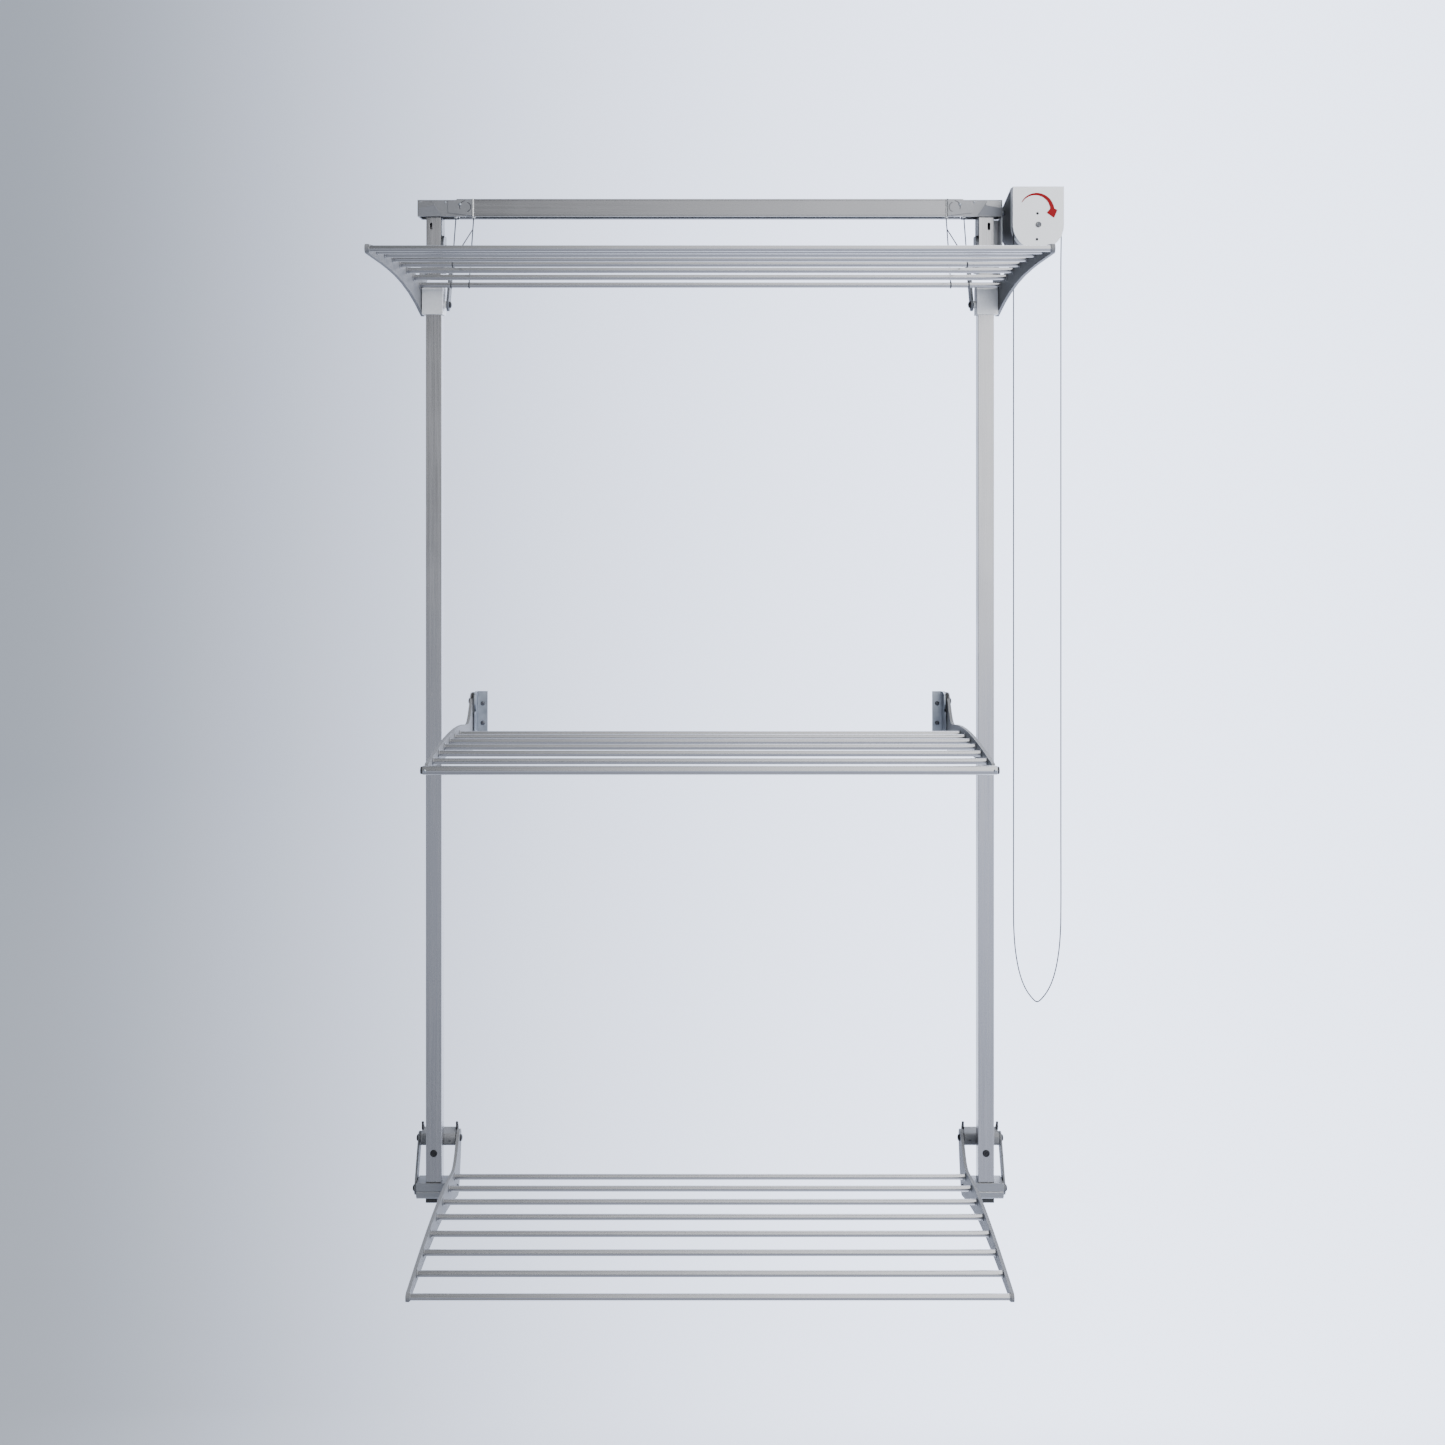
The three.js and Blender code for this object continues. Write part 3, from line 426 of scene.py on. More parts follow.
def add_lathe(shape, profile, centre, axis, segments=32):
    """Adds a turned solid. Its profile of (radius, height) runs up the axis, ending on the axis at
    both ends or closing on itself."""
    turn = Vector((0, 0, 1)).rotation_difference(Vector(axis).normalized()).to_matrix().to_4x4()
    place = Matrix.Translation(Vector(centre)) @ turn
    rings = []
    for radius, height in profile:
        if radius < 1e-7:
            rings.append([shape.verts.new(place @ Vector((0, 0, height)))])
            continue
        ring = []
        for step in range(segments):
            angle = 2 * math.pi * step / segments
            point = Vector((radius * math.cos(angle), radius * math.sin(angle), height))
            ring.append(shape.verts.new(place @ point))
        rings.append(ring)
    closed = profile[0][0] > 1e-7
    pairs = list(zip(rings, rings[1:]))
    if closed:
        pairs.append((rings[-1], rings[0]))
    for low, high in pairs:
        for step in range(segments):
            after = (step + 1) % segments
            corners = [low[step % len(low)], low[after % len(low)]]
            corners += [high[after % len(high)], high[step % len(high)]]
            unique = list(dict.fromkeys(corners))
            shape.faces.new(unique)


def rounded_rod(radius, half_length, edge=0.5 * MM):
    """A plain rod's profile with eased ends."""
    return [
        (0, -half_length), (radius - edge, -half_length), (radius, -half_length + edge),
        (radius, half_length - edge), (radius - edge, half_length), (0, half_length),
    ]


def washer(inner, outer, thickness):
    """A ring's closed profile, standing on its axis origin."""
    edge = 0.25 * MM
    return [
        (inner, 0), (outer - edge, 0), (outer, edge),
        (outer, thickness - edge), (outer - edge, thickness), (inner, thickness),
    ]


def domed_cap(radius, height):
    """A low dome, for plugs and bolt covers."""
    profile = [(0, 0), (radius, 0), (radius, 0.35 * height)]
    for step in range(1, 5):
        angle = math.radians(90) * step / 5
        profile.append((radius * math.cos(angle), height * (0.35 + 0.65 * math.sin(angle))))
    profile.append((0, height))
    return profile


def add_screw(shape, radius, height, at, axis=TOWARDS_ROOM, segments=24):
    """Adds the head of a button-headed screw with a round recess."""
    recess = 0.45 * radius
    profile = [
        (0, 0), (radius, 0), (radius, 0.35 * height), (0.92 * radius, 0.62 * height),
        (0.72 * radius, 0.9 * height), (1.1 * recess, height), (recess, 0.96 * height),
        (recess, 0.4 * height), (0, 0.35 * height),
    ]
    add_lathe(shape, profile, at, axis, segments)


def rectangle(across_from, across_to, z_from, z_to):
    """The four corners of an upright rectangle."""
    return [(across_from, z_from), (across_to, z_from), (across_to, z_to), (across_from, z_to)]


def join_rings(shape, first, second):
    """Adds the faces between two matching closed rings of vertices."""
    for index in range(len(first)):
        after = (index + 1) % len(first)
        shape.faces.new((first[index], second[index], second[after], first[after]))


def add_prism(shape, first, second):
    """Adds a solid between two matching outlines in space."""
    near = [shape.verts.new(corner) for corner in first]
    far = [shape.verts.new(corner) for corner in second]
    shape.faces.new(near)
    shape.faces.new(far[::-1])
    join_rings(shape, near, far)


def add_plate(shape, outline, forward_from, forward_to):
    """Adds a plate drawn in the front view as (x, z) points, between two distances from the wall."""
    back, front = [[(x, -forward, z) for x, z in outline] for forward in (forward_from, forward_to)]
    add_prism(shape, back, front)


def add_slab(shape, outline, x_from, x_to):
    """Adds a plate drawn in the side view as (forward, z) points, between two X values."""
    near, far = [[(x, -forward, z) for forward, z in outline] for x in (x_from, x_to)]
    add_prism(shape, near, far)


def ease_edges(shape, width, segments=2, angle=30):
    """Rounds every edge sharper than the angle."""
    bmesh.ops.recalc_face_normals(shape, faces=shape.faces)
    limit = math.radians(angle)
    folded = [edge for edge in shape.edges if len(edge.link_faces) == 2]
    sharp = [edge for edge in folded if edge.calc_face_angle(0.0) > limit]
    bmesh.ops.bevel(
        shape, geom=sharp, offset=width, segments=segments, profile=0.5, affect="EDGES",
        clamp_overlap=True,
    )


def refine(node, material, body, width=0.5 * MM, segments=2):
    """Stands for a CAD node with the same solid, its edges eased as on the real part."""
    shape = bmesh.new()
    shape.from_mesh(frame["nodes"][node].data)
    bmesh.ops.remove_doubles(shape, verts=shape.verts, dist=1e-6)
    bmesh.ops.dissolve_limit(
        shape, angle_limit=math.radians(0.5), verts=shape.verts, edges=shape.edges,
    )
    ease_edges(shape, width, segments)
    piece = make_piece(f"{node}_shown", shape, material, body)
    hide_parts(node)


# ---- shelves -----------------------------------------------------------------------------------
def rod_names(shelf):
    """A shelf's rods in order, from the wall outwards."""
    names = [name for name in frame["nodes"] if name.startswith(f"{shelf}_rod_")]
    names.sort(key=lambda name: int(name.rsplit("_", 1)[1]))
    if shelf == "mid":
        names.append("mid_front_rail")
    return names


def rod_place(node):
    """Centre, radius and half length of a rod."""
    low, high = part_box(node)
    return (low + high) / 2, (high.z - low.z) / 2, (high.x - low.x) / 2


def plate_span(node):
    """A plate's inner and outer distances from the middle plane."""
    low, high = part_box(node)
    return sorted((abs(low.x), abs(high.x)))


def make_rods(shelf):
    """Each rod, with the plugs and collars that seat it in the arms."""
    body = SHELF_BODY[shelf]
    plugs = bmesh.new()
    collars = bmesh.new()
    for node in rod_names(shelf):
        centre, radius, half_length = rod_place(node)
        shape = bmesh.new()
        add_lathe(shape, rounded_rod(radius, half_length), centre, ALONG_X, 40)
        rod = make_piece(f"{node}_shown", shape, "rod", body)
        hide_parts(node)
        if node == "mid_front_rail":
            continue
        for word, side in SIDES:
            inner, outer = plate_span(f"{shelf}_{word}_arm")
            outward = ALONG_X * side
            plug_at = Vector((side * (outer - 0.3 * MM), centre.y, centre.z))
            add_lathe(plugs, domed_cap(radius, 1.4 * MM), plug_at, outward)
            collar_at = Vector((side * (inner - 0.1 * MM), centre.y, centre.z))
            collar = washer(radius + 0.05 * MM, radius + 1.3 * MM, 1.6 * MM)
            add_lathe(collars, collar, collar_at, -outward)
    make_piece(f"{shelf}_rod_plugs", plugs, "plastic", body)
    make_piece(f"{shelf}_rod_collars", collars, "paint", body)


def make_rail_caps():
    """Black end caps of the middle shelf's front rail, and the screws that hold it to the arms."""
    centre, radius, half_length = rod_place("mid_front_rail")
    caps = bmesh.new()
    screws = bmesh.new()
    for word, side in SIDES:
        end = Vector((side * (half_length - 3 * MM), centre.y, centre.z))
        plug = [
            (0, 0), (radius - 1.3 * MM, 0), (radius - 1.3 * MM, 5.6 * MM), (radius - 2.0 * MM, 6.6 * MM),
            (0, 6.9 * MM),
        ]
        add_lathe(caps, plug, end, ALONG_X * side)
        middle = side * sum(plate_span(f"mid_{word}_arm")) / 2
        front = Vector((middle, centre.y - radius + 0.4 * MM, centre.z))
        add_screw(screws, 3 * MM, 1.8 * MM, front)
    make_piece("mid_rail_caps", caps, "rubber", SHELF_BODY["mid"])
    make_piece("mid_rail_screws", screws, "steel", SHELF_BODY["mid"])


def make_painted_shade_rings():
    """Black rings round the wall ends of the middle shelf's arms, painted shade that stands for the deep
    shade at the arms' ends.
    """
    rings = bmesh.new()
    for _, side in SIDES:
        at = Vector((side * 480.3 * MM, JOINT_AT["mid_fold"].y, JOINT_AT["mid_fold"].z))
        add_lathe(rings, washer(16.8 * MM, 18 * MM, 3.4 * MM), at, ALONG_X * side, 40)
    make_piece("mid_painted_shade_rings", rings, "rubber", SHELF_BODY["mid"])


def make_shelf(shelf):
    """A shelf's two arms and rods, and its pair of links where it has them."""
    body = SHELF_BODY[shelf]
    for word, _ in SIDES:
        refine(f"{shelf}_{word}_arm", "arm", body, 0.8 * MM)
        if shelf != "mid":
            refine(f"{shelf}_{word}_link", "link", body)
    make_rods(shelf)


# ---- pivots ------------------------------------------------------------------------------------
def make_axle_trim(name, body, owner, plates, at):
    """Caps on both ends of an axle, and the spacers that fill the gaps along it.
    The owner holds the axle and the plates turn on it; each is a pair of distances from the
    middle plane."""
    owner_inner, owner_outer = owner
    caps = bmesh.new()
    spacers = bmesh.new()
    for _, side in SIDES:
        outward = ALONG_X * side
        first = min(inner for inner, _ in plates)
        last = max(outer for _, outer in plates)
        ends = [(first, -1)] if first < owner_inner else []
        if last > owner_outer:
            ends.append((last, 1))
        for distance, direction in ends:
            seat = Vector((side * (distance + direction * 0.3 * MM), at.y, at.z))
            add_lathe(caps, domed_cap(6.8 * MM, 4.6 * MM), seat, outward * direction)
        for plate_inner, plate_outer in plates:
            if plate_outer < owner_inner:
                start = plate_outer
                thickness = owner_inner - plate_outer
            else:
                start = owner_outer
                thickness = plate_inner - owner_outer
            seat = Vector((side * (start + 0.15 * MM), at.y, at.z))
            add_lathe(spacers, washer(4.1 * MM, 7.6 * MM, thickness - 0.3 * MM), seat, outward)
    make_piece(f"{name}_caps", caps, "black", body)
    make_piece(f"{name}_spacers", spacers, "nylon", body)


def make_pivots():
    """The trim of all six axles: three on the wall and three on the swinging frame."""
    drop = JOINT_AT["frame_swing"] - JOINT_AT["top_fold"]
    top_plates = [plate_span("top_right_link"), plate_span("top_right_arm")]
    bottom_plates = [plate_span("bottom_right_arm"), plate_span("bottom_right_link")]
    mid_plates = [plate_span("mid_right_arm")]
    leg = (544.5 * MM, 574 * MM)
    cheek = (474.5 * MM, 478 * MM)
    spacer = (488.3 * MM, 568 * MM)
    mid_frame_at = JOINT_AT["mid_fold"] + drop
    bottom_frame_at = JOINT_AT["bottom_fold"] + drop
    make_axle_trim("top_wall_axle", WALL, leg, top_plates, JOINT_AT["top_fold"])
    make_axle_trim("top_frame_axle", SWING, SLEEVE_SPAN, top_plates, JOINT_AT["frame_swing"])
    make_axle_trim("mid_wall_axle", WALL, cheek, mid_plates, JOINT_AT["mid_fold"])
    make_axle_trim("mid_frame_axle", SWING, spacer, mid_plates, mid_frame_at)
    make_axle_trim("bottom_wall_axle", WALL, FOOT_SPAN, bottom_plates, JOINT_AT["bottom_fold"])
    make_axle_trim("bottom_frame_axle", SWING, FOOT_SPAN, bottom_plates, bottom_frame_at)


# ---- fixed parts on the wall -------------------------------------------------------------------
def make_bar():
    """The top bar, with a fine raised line along the top and bottom of its front."""
    refine("top_bar", "bar", WALL, 0.6 * MM)
    low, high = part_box("top_bar")
    front = -low.y
    beads = bmesh.new()
    for z in (high.z - 3.2 * MM, low.z + 3.2 * MM):
        outline = [
            (front - 0.1 * MM, z - 0.7 * MM), (front + 0.45 * MM, z - 0.35 * MM),
            (front + 0.45 * MM, z + 0.35 * MM), (front - 0.1 * MM, z + 0.7 * MM),
        ]
        add_slab(beads, outline, low.x + 1 * MM, high.x - 1 * MM)
    make_piece("top_bar_beads", beads, "bar", WALL)


def make_guide_cover(word, side, low, high):
    """The cover over the cord guides. At its inner end a white strip is a painted highlight on the cover's
    edge, and a black strip is painted shade in the gap between the cover and the bar.
    """
    front = -low.y
    inner = 479.5 * MM
    outer = 529 * MM
    corner = 7 * MM
    outline = [
        (side * inner, low.z + 1 * MM), (side * outer, low.z + corner), (side * outer, high.z - 1 * MM),
        (side * (inner + 2 * MM), high.z + 1.5 * MM), (side * inner, high.z + 1.5 * MM),
    ]
    cover = bmesh.new()
    add_plate(cover, outline, front - 3 * MM, front + 1.8 * MM)
    ease_edges(cover, 0.5 * MM)
    make_piece(f"{word}_guide_cover", cover, "bracket", WALL)
    # Painted highlight: a white strip standing for the bright edge of the cover beside the bar.
    painted_highlight_strip = bmesh.new()
    bottom = low.z + 0.2 * MM
    highlight_from = side * (inner - 2.0 * MM)
    highlight_to = side * (inner - 0.4 * MM)
    highlight_outline = rectangle(highlight_from, highlight_to, bottom, high.z + 2.2 * MM)
    add_plate(painted_highlight_strip, highlight_outline, front - 4 * MM, front + 0.8 * MM)
    ease_edges(painted_highlight_strip, 0.3 * MM, 1)
    make_piece(f"{word}_guide_lip", painted_highlight_strip, "nylon", WALL)
    # Painted shade: a black strip standing for the dark gap between the cover and the bar.
    painted_shade_seam = bmesh.new()
    shade_seam_from = side * (inner - 0.5 * MM)
    shade_seam_to = side * (inner + 0.5 * MM)
    shade_seam_outline = rectangle(shade_seam_from, shade_seam_to, bottom, high.z + 2.0 * MM)
    add_plate(painted_shade_seam, shade_seam_outline, front - 3.5 * MM, front + 2.1 * MM)
    make_piece(f"{word}_guide_seam", painted_shade_seam, "rubber", WALL)


def make_guide_ribs(word, side, front, middle_z):
    """Two curved ribs on the guide cover."""
    ribs = bmesh.new()
    centre_x = side * 492 * MM
    centre_z = middle_z + 2 * MM
    section = ((-0.7, 1.7), (-0.35, 2.3), (0.35, 2.3), (0.7, 1.7))
    for start_angle, end_angle, radius in ((-75, 75, 9.5 * MM), (100, 200, 13 * MM)):
        rows = []
        for step in range(13):
            angle = math.radians(start_angle + (end_angle - start_angle) * step / 12)
            row = []
            for reach, proud in section:
                distance = radius + reach * MM
                x = centre_x - side * distance * math.cos(angle)
                z = centre_z + distance * math.sin(angle)
                row.append(ribs.verts.new((x, -(front + proud * MM), z)))
            rows.append(row)
        for low_row, high_row in zip(rows, rows[1:]):
            for index in range(3):
                corners = (low_row[index], low_row[index + 1], high_row[index + 1], high_row[index])
                ribs.faces.new(corners)
    make_piece(f"{word}_guide_ribs", ribs, "rubber", WALL)


def make_bracket_wedge(word, side, low, high):
    """A raised wedge with a slanting ridge, on the end bracket's outer half."""
    front = -low.y
    ridge_z = (low.z + high.z) / 2 + 2 * MM
    bottom = low.z + 1.5 * MM
    top = high.z - 1.5 * MM
    corners = {
        "low_in": (540, bottom, 0.05), "low_out": (588, bottom, 0.05),
        "ridge_in": (556, ridge_z + 4 * MM, 3.6), "ridge_out": (588, ridge_z - 3 * MM, 3.6),
        "high_in": (560, top, 0.05), "high_out": (588, top, 0.05),
    }
    wedge = bmesh.new()
    face = {}
    back = {}
    for key, (x, z, proud) in corners.items():
        face[key] = wedge.verts.new((side * x * MM, -(front + proud * MM), z))
        back[key] = wedge.verts.new((side * x * MM, -(front - 0.1 * MM), z))
    ring = ["low_in", "low_out", "ridge_out", "high_out", "high_in", "ridge_in"]
    wedge.faces.new([face[key] for key in ("low_in", "low_out", "ridge_out", "ridge_in")])
    wedge.faces.new([face[key] for key in ("ridge_in", "ridge_out", "high_out", "high_in")])
    wedge.faces.new([back[key] for key in ring[::-1]])
    join_rings(wedge, [face[key] for key in ring], [back[key] for key in ring])
    ease_edges(wedge, 0.3 * MM, 1, 12)
    make_piece(f"{word}_bracket_wedge", wedge, "bracket", WALL)


def make_end_bracket(word, side):
    """The bracket at one end of the bar, which carries the cord guides."""
    node = f"{word}_end_bracket"
    refine(node, "bracket", WALL, 0.8 * MM)
    low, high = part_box(node)
    middle_z = (low.z + high.z) / 2
    make_guide_cover(word, side, low, high)
    bushings = bmesh.new()
    for x in LIFT_CORD_X:
        at = Vector((side * x, -LIFT_CORD_FORWARD, -19.6 * MM))
        add_lathe(bushings, washer(1.25 * MM, 3.2 * MM, 2.6 * MM), at, (0, 0, 1), 24)
    make_piece(f"{word}_cord_bushings", bushings, "nylon", WALL)
    make_guide_ribs(word, side, -low.y, middle_z)
    screws = bmesh.new()
    cover_at = Vector((side * 504.5 * MM, low.y - 1.9 * MM, middle_z + 7.5 * MM))
    add_screw(screws, 2.8 * MM, 1.6 * MM, cover_at)
    for x in (534 * MM, 584 * MM):
        at = Vector((side * x, low.y + 0.1 * MM, high.z - 5 * MM))
        add_screw(screws, 2.0 * MM, 1.2 * MM, at, segments=20)
    make_piece(f"{word}_guide_screws", screws, "steel", WALL)
    make_bracket_wedge(word, side, low, high)


def make_leg(word, side):
    """A short leg under the bar, with a dark chamfered cheek and a thin flange inside it."""
    refine(f"{word}_leg", "upright", WALL)
    top = -55 * MM
    bottom = -130 * MM
    cheek = bmesh.new()
    outline = [
        (8 * MM, bottom), (46 * MM, bottom), (46 * MM, top - 14 * MM),
        (34 * MM, top), (8 * MM, top),
    ]
    add_slab(cheek, outline, side * 538.2 * MM, side * 543.9 * MM)
    ease_edges(cheek, 0.6 * MM)
    flange = rectangle(2 * MM, 41 * MM, top, UNDER_BAR)
    add_slab(cheek, flange, side * 542.8 * MM, side * 544.2 * MM)
    make_piece(f"{word}_leg_cheek", cheek, "dark_steel", WALL)
    screws = bmesh.new()
    screw_at = Vector((side * 564.5 * MM, -2.6 * MM, -37 * MM))
    add_screw(screws, 4.2 * MM, 2.6 * MM, screw_at)
    make_piece(f"{word}_leg_screw", screws, "steel", WALL)


def make_drive_strip():
    """Flat strip beside the right leg that steadies the drive box."""
    strip = bmesh.new()
    bottom = -96 * MM
    outline = [
        (2 * MM, UNDER_BAR), (40 * MM, UNDER_BAR), (40 * MM, -88 * MM), (30 * MM, bottom),
        (2 * MM, bottom),
    ]
    add_slab(strip, outline, 589 * MM, 592.5 * MM)
    back_plate = rectangle(575.2 * MM, 590 * MM, UNDER_BAR, bottom)
    add_plate(strip, back_plate, 1 * MM, 4 * MM)
    ease_edges(strip, 0.5 * MM)
    make_piece("drive_support_strip", strip, "sleeve", WALL)


def make_mid_bracket(word, side):
    """The middle shelf's wall bracket, with its screws, a black plate of painted shade in the gap beside
    the arm's end, and a gusset.
    """
    refine(f"mid_{word}_wall_bracket", "steel", WALL)
    top = JOINT_AT["mid_fold"].z
    screws = bmesh.new()
    for drop in (8 * MM, 48 * MM):
        at = Vector((side * 465 * MM, -2.7 * MM, top - drop))
        add_screw(screws, 4.6 * MM, 2.6 * MM, at)
    make_piece(f"mid_{word}_wall_screws", screws, "dark_steel", WALL)
    # Painted shade: a black plate standing for the deep shade in the gap between the bracket and the arm's
    # end.
    painted_shade_plate = bmesh.new()
    painted_shade_outline = [
        (3 * MM, top - 33 * MM), (30 * MM, top - 33 * MM), (43 * MM, top - 20 * MM),
        (43 * MM, top + 8 * MM), (36 * MM, top + 17 * MM), (3 * MM, top + 17 * MM),
    ]
    add_slab(painted_shade_plate, painted_shade_outline, side * 478.1 * MM, side * 480.1 * MM)
    ease_edges(painted_shade_plate, 0.4 * MM, 1)
    make_piece(f"mid_{word}_liner", painted_shade_plate, "rubber", WALL)
    gusset = bmesh.new()
    gusset_outline = [
        (2 * MM, top - 64 * MM), (38 * MM, top - 64 * MM), (40 * MM, top - 60 * MM),
        (40 * MM, top - 20 * MM), (2 * MM, top - 20 * MM),
    ]
    add_slab(gusset, gusset_outline, side * 474.7 * MM, side * 478.3 * MM)
    ease_edges(gusset, 0.3 * MM, 1)
    make_piece(f"mid_{word}_gusset", gusset, "steel", WALL)


def bracket_section(front, low_z, high_z, inset, radius):
    """A line that runs from the wall along the top, round the front and back under it."""
    points = [(inset, high_z - inset)]
    for centre_z, first in ((high_z - inset - radius, 90), (low_z + radius, 0)):
        for step in range(7):
            angle = math.radians(first - 90 * step / 6)
            across = front - inset - radius + radius * math.cos(angle)
            points.append((across, centre_z + radius * math.sin(angle)))
    return points


def make_bottom_channel(word, side, axle, low_z, high_z, front):
    """The bottom wall bracket: a rounded channel with closed ends, and the axle through it."""
    node = f"bottom_{word}_wall_bracket"
    wall = 3.5 * MM
    end_in, end_out = FOOT_SPAN
    channel = bmesh.new()
    outer = bracket_section(front, low_z, high_z, 0, 9 * MM)
    inner = bracket_section(front, low_z, high_z, wall, 5.5 * MM)
    strips = []
    for points in (outer, inner):
        strips.append([
            [channel.verts.new((side * x, -across, z)) for across, z in points]
            for x in (end_in + wall, end_out - wall)
        ])
    (outer_a, outer_b), (inner_a, inner_b) = strips
    for index in range(len(outer) - 1):
        channel.faces.new((outer_a[index], outer_a[index + 1], outer_b[index + 1], outer_b[index]))
        channel.faces.new((inner_a[index], inner_b[index], inner_b[index + 1], inner_a[index + 1]))
    channel.faces.new((outer_a[-1], inner_a[-1], inner_b[-1], outer_b[-1]))
    channel.faces.new((outer_a[0], outer_b[0], inner_b[0], inner_a[0]))
    cheek = outer + [(0, low_z)]
    add_slab(channel, cheek, side * end_in, side * (end_in + wall))
    add_slab(channel, cheek, side * (end_out - wall), side * end_out)
    back = rectangle(0, wall, low_z, high_z - wall)
    add_slab(channel, back, side * (end_in + wall), side * (end_out - wall))
    axle_length = [(0, 0), (4 * MM, 0), (4 * MM, 91 * MM), (0, 91 * MM)]
    add_lathe(channel, axle_length, (side * 504 * MM, axle.y, axle.z), ALONG_X * side, 24)
    shown = make_piece(f"{node}_shown", channel, "arm", WALL)
    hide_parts(node)


def make_bottom_bracket(word, side):
    """The bottom shelf's wall bracket, its screws, and the thin ears that stand up at its ends."""
    axle = JOINT_AT["bottom_fold"]
    low_z = axle.z - 12.5 * MM
    high_z = axle.z + 12.5 * MM
    front = 39 * MM
    make_bottom_channel(word, side, axle, low_z, high_z, front)
    screws = bmesh.new()
    for offset in (-16 * MM, 16 * MM):
        at = Vector((side * 551.25 * MM + offset, -3.4 * MM, axle.z - 4 * MM))
        add_screw(screws, 4.4 * MM, 2.4 * MM, at)
    front_at = Vector((side * 527 * MM, -front + 0.1 * MM, axle.z))
    add_screw(screws, 2.4 * MM, 1.4 * MM, front_at, segments=20)
    make_piece(f"bottom_{word}_wall_screws", screws, "dark_steel", WALL)
    outline = [
        (1 * MM, high_z - 12 * MM), (13 * MM, high_z - 1 * MM), (17 * MM, high_z + 5 * MM),
        (15 * MM, high_z + 12.5 * MM), (11 * MM, high_z + 13.5 * MM), (1 * MM, high_z + 1 * MM),
    ]
    ears = bmesh.new()
    for x_from, x_to in ((514.3, 518.2), (584.2, 587.8)):
        add_slab(ears, outline, side * x_from * MM, side * x_to * MM)
        knob_at = (side * (x_from + x_to) / 2 * MM, -13 * MM, high_z + 13 * MM)
        add_lathe(ears, domed_cap(2.6 * MM, 3.2 * MM), knob_at, (0, 0, 1), 16)
    make_piece(f"bottom_{word}_bracket_ears", ears, "rubber", WALL)


# ---- swinging frame ----------------------------------------------------------------------------
def make_swing_side(word, side):
    """One upright of the swinging frame with its sleeve, plug, screw and foot."""
    refine(f"{word}_upright", "upright", SWING, 1.2 * MM, 3)
    refine(f"{word}_sleeve", "sleeve", SWING, 1.4 * MM, 3)
    refine(f"{word}_foot_crosspiece", "paint", SWING, 0.6 * MM)
    refine(f"{word}_foot_pad", "rubber", SWING, 1.2 * MM, 3)
    plug = bmesh.new()
    plug_at = Vector((side * 552.25 * MM, -82 * MM + 0.2 * MM, -1896 * MM))
    profile = [
        (0, 0), (7.2 * MM, 0), (7.2 * MM, 0.8 * MM), (6.6 * MM, 1.8 * MM), (4.4 * MM, 2.0 * MM),
        (3.8 * MM, 1.2 * MM), (1.6 * MM, 1.1 * MM), (1.2 * MM, 1.7 * MM), (0, 1.8 * MM),
    ]
    add_lathe(plug, profile, plug_at, TOWARDS_ROOM)
    make_piece(f"{word}_upright_plug", plug, "black", SWING)
    screw = bmesh.new()
    sleeve_low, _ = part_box(f"{word}_sleeve")
    screw_at = Vector((side * SLEEVE_SPAN[1] - side * 0.2 * MM, -67 * MM, sleeve_low.z + 9 * MM))
    add_screw(screw, 3.2 * MM, 1.3 * MM, screw_at, ALONG_X * side)
    make_piece(f"{word}_sleeve_screw", screw, "steel", SWING)
    cap = bmesh.new()
    foot_low, foot_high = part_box(f"{word}_foot_crosspiece")
    bottom = foot_low.z + 2 * MM
    top = foot_high.z - 2 * MM
    end_x = side * FOOT_SPAN[1]
    outline = [
        (50 * MM, bottom), (82 * MM, bottom), (84 * MM, foot_low.z + 5 * MM),
        (84 * MM, top), (50 * MM, top),
    ]
    add_slab(cap, outline, end_x - side * 0.1 * MM, end_x + side * 0.9 * MM)
    ease_edges(cap, 0.3 * MM)
    make_piece(f"{word}_foot_end_cap", cap, "paint", SWING)


# ---- drive -------------------------------------------------------------------------------------
def make_arrow(centre, front):
    """Red curved arrow that shows which way to pull: a band that widens clockwise to its head."""
    radius = 32.0 * MM
    steps = 28
    start = math.radians(150)
    end = math.radians(6)
    outer = []
    inner = []
    for step in range(steps + 1):
        part = step / steps
        angle = start + (end - start) * part
        half_width = (0.7 + 3.5 * part ** 0.85) * MM
        direction = Vector((math.cos(angle), math.sin(angle)))
        outer.append(centre + direction * (radius + half_width))
        inner.append(centre + direction * (radius - half_width))

    def polar(degrees, distance):
        angle = math.radians(degrees)
        return centre + Vector((math.cos(angle), math.sin(angle))) * distance

    outer.append(polar(1, 42.5 * MM))
    inner.append(polar(-13, 21.5 * MM))
    tip = polar(-23, 38.5 * MM)
    arrow = bmesh.new()
    rows = []
    for forward in (front - 0.05 * MM, front + 0.3 * MM):
        outer_row = [arrow.verts.new((point.x, -forward, point.y)) for point in outer]
        inner_row = [arrow.verts.new((point.x, -forward, point.y)) for point in inner]
        tip_point = arrow.verts.new((tip.x, -forward, tip.y))
        for index in range(len(outer) - 1):
            after = index + 1
            arrow.faces.new((outer_row[index], outer_row[after], inner_row[after], inner_row[index]))
        arrow.faces.new((outer_row[-1], tip_point, inner_row[-1]))
        rows.append(outer_row + [tip_point] + inner_row[::-1])
    join_rings(arrow, *rows)
    make_piece("direction_arrow", arrow, "red", WALL)


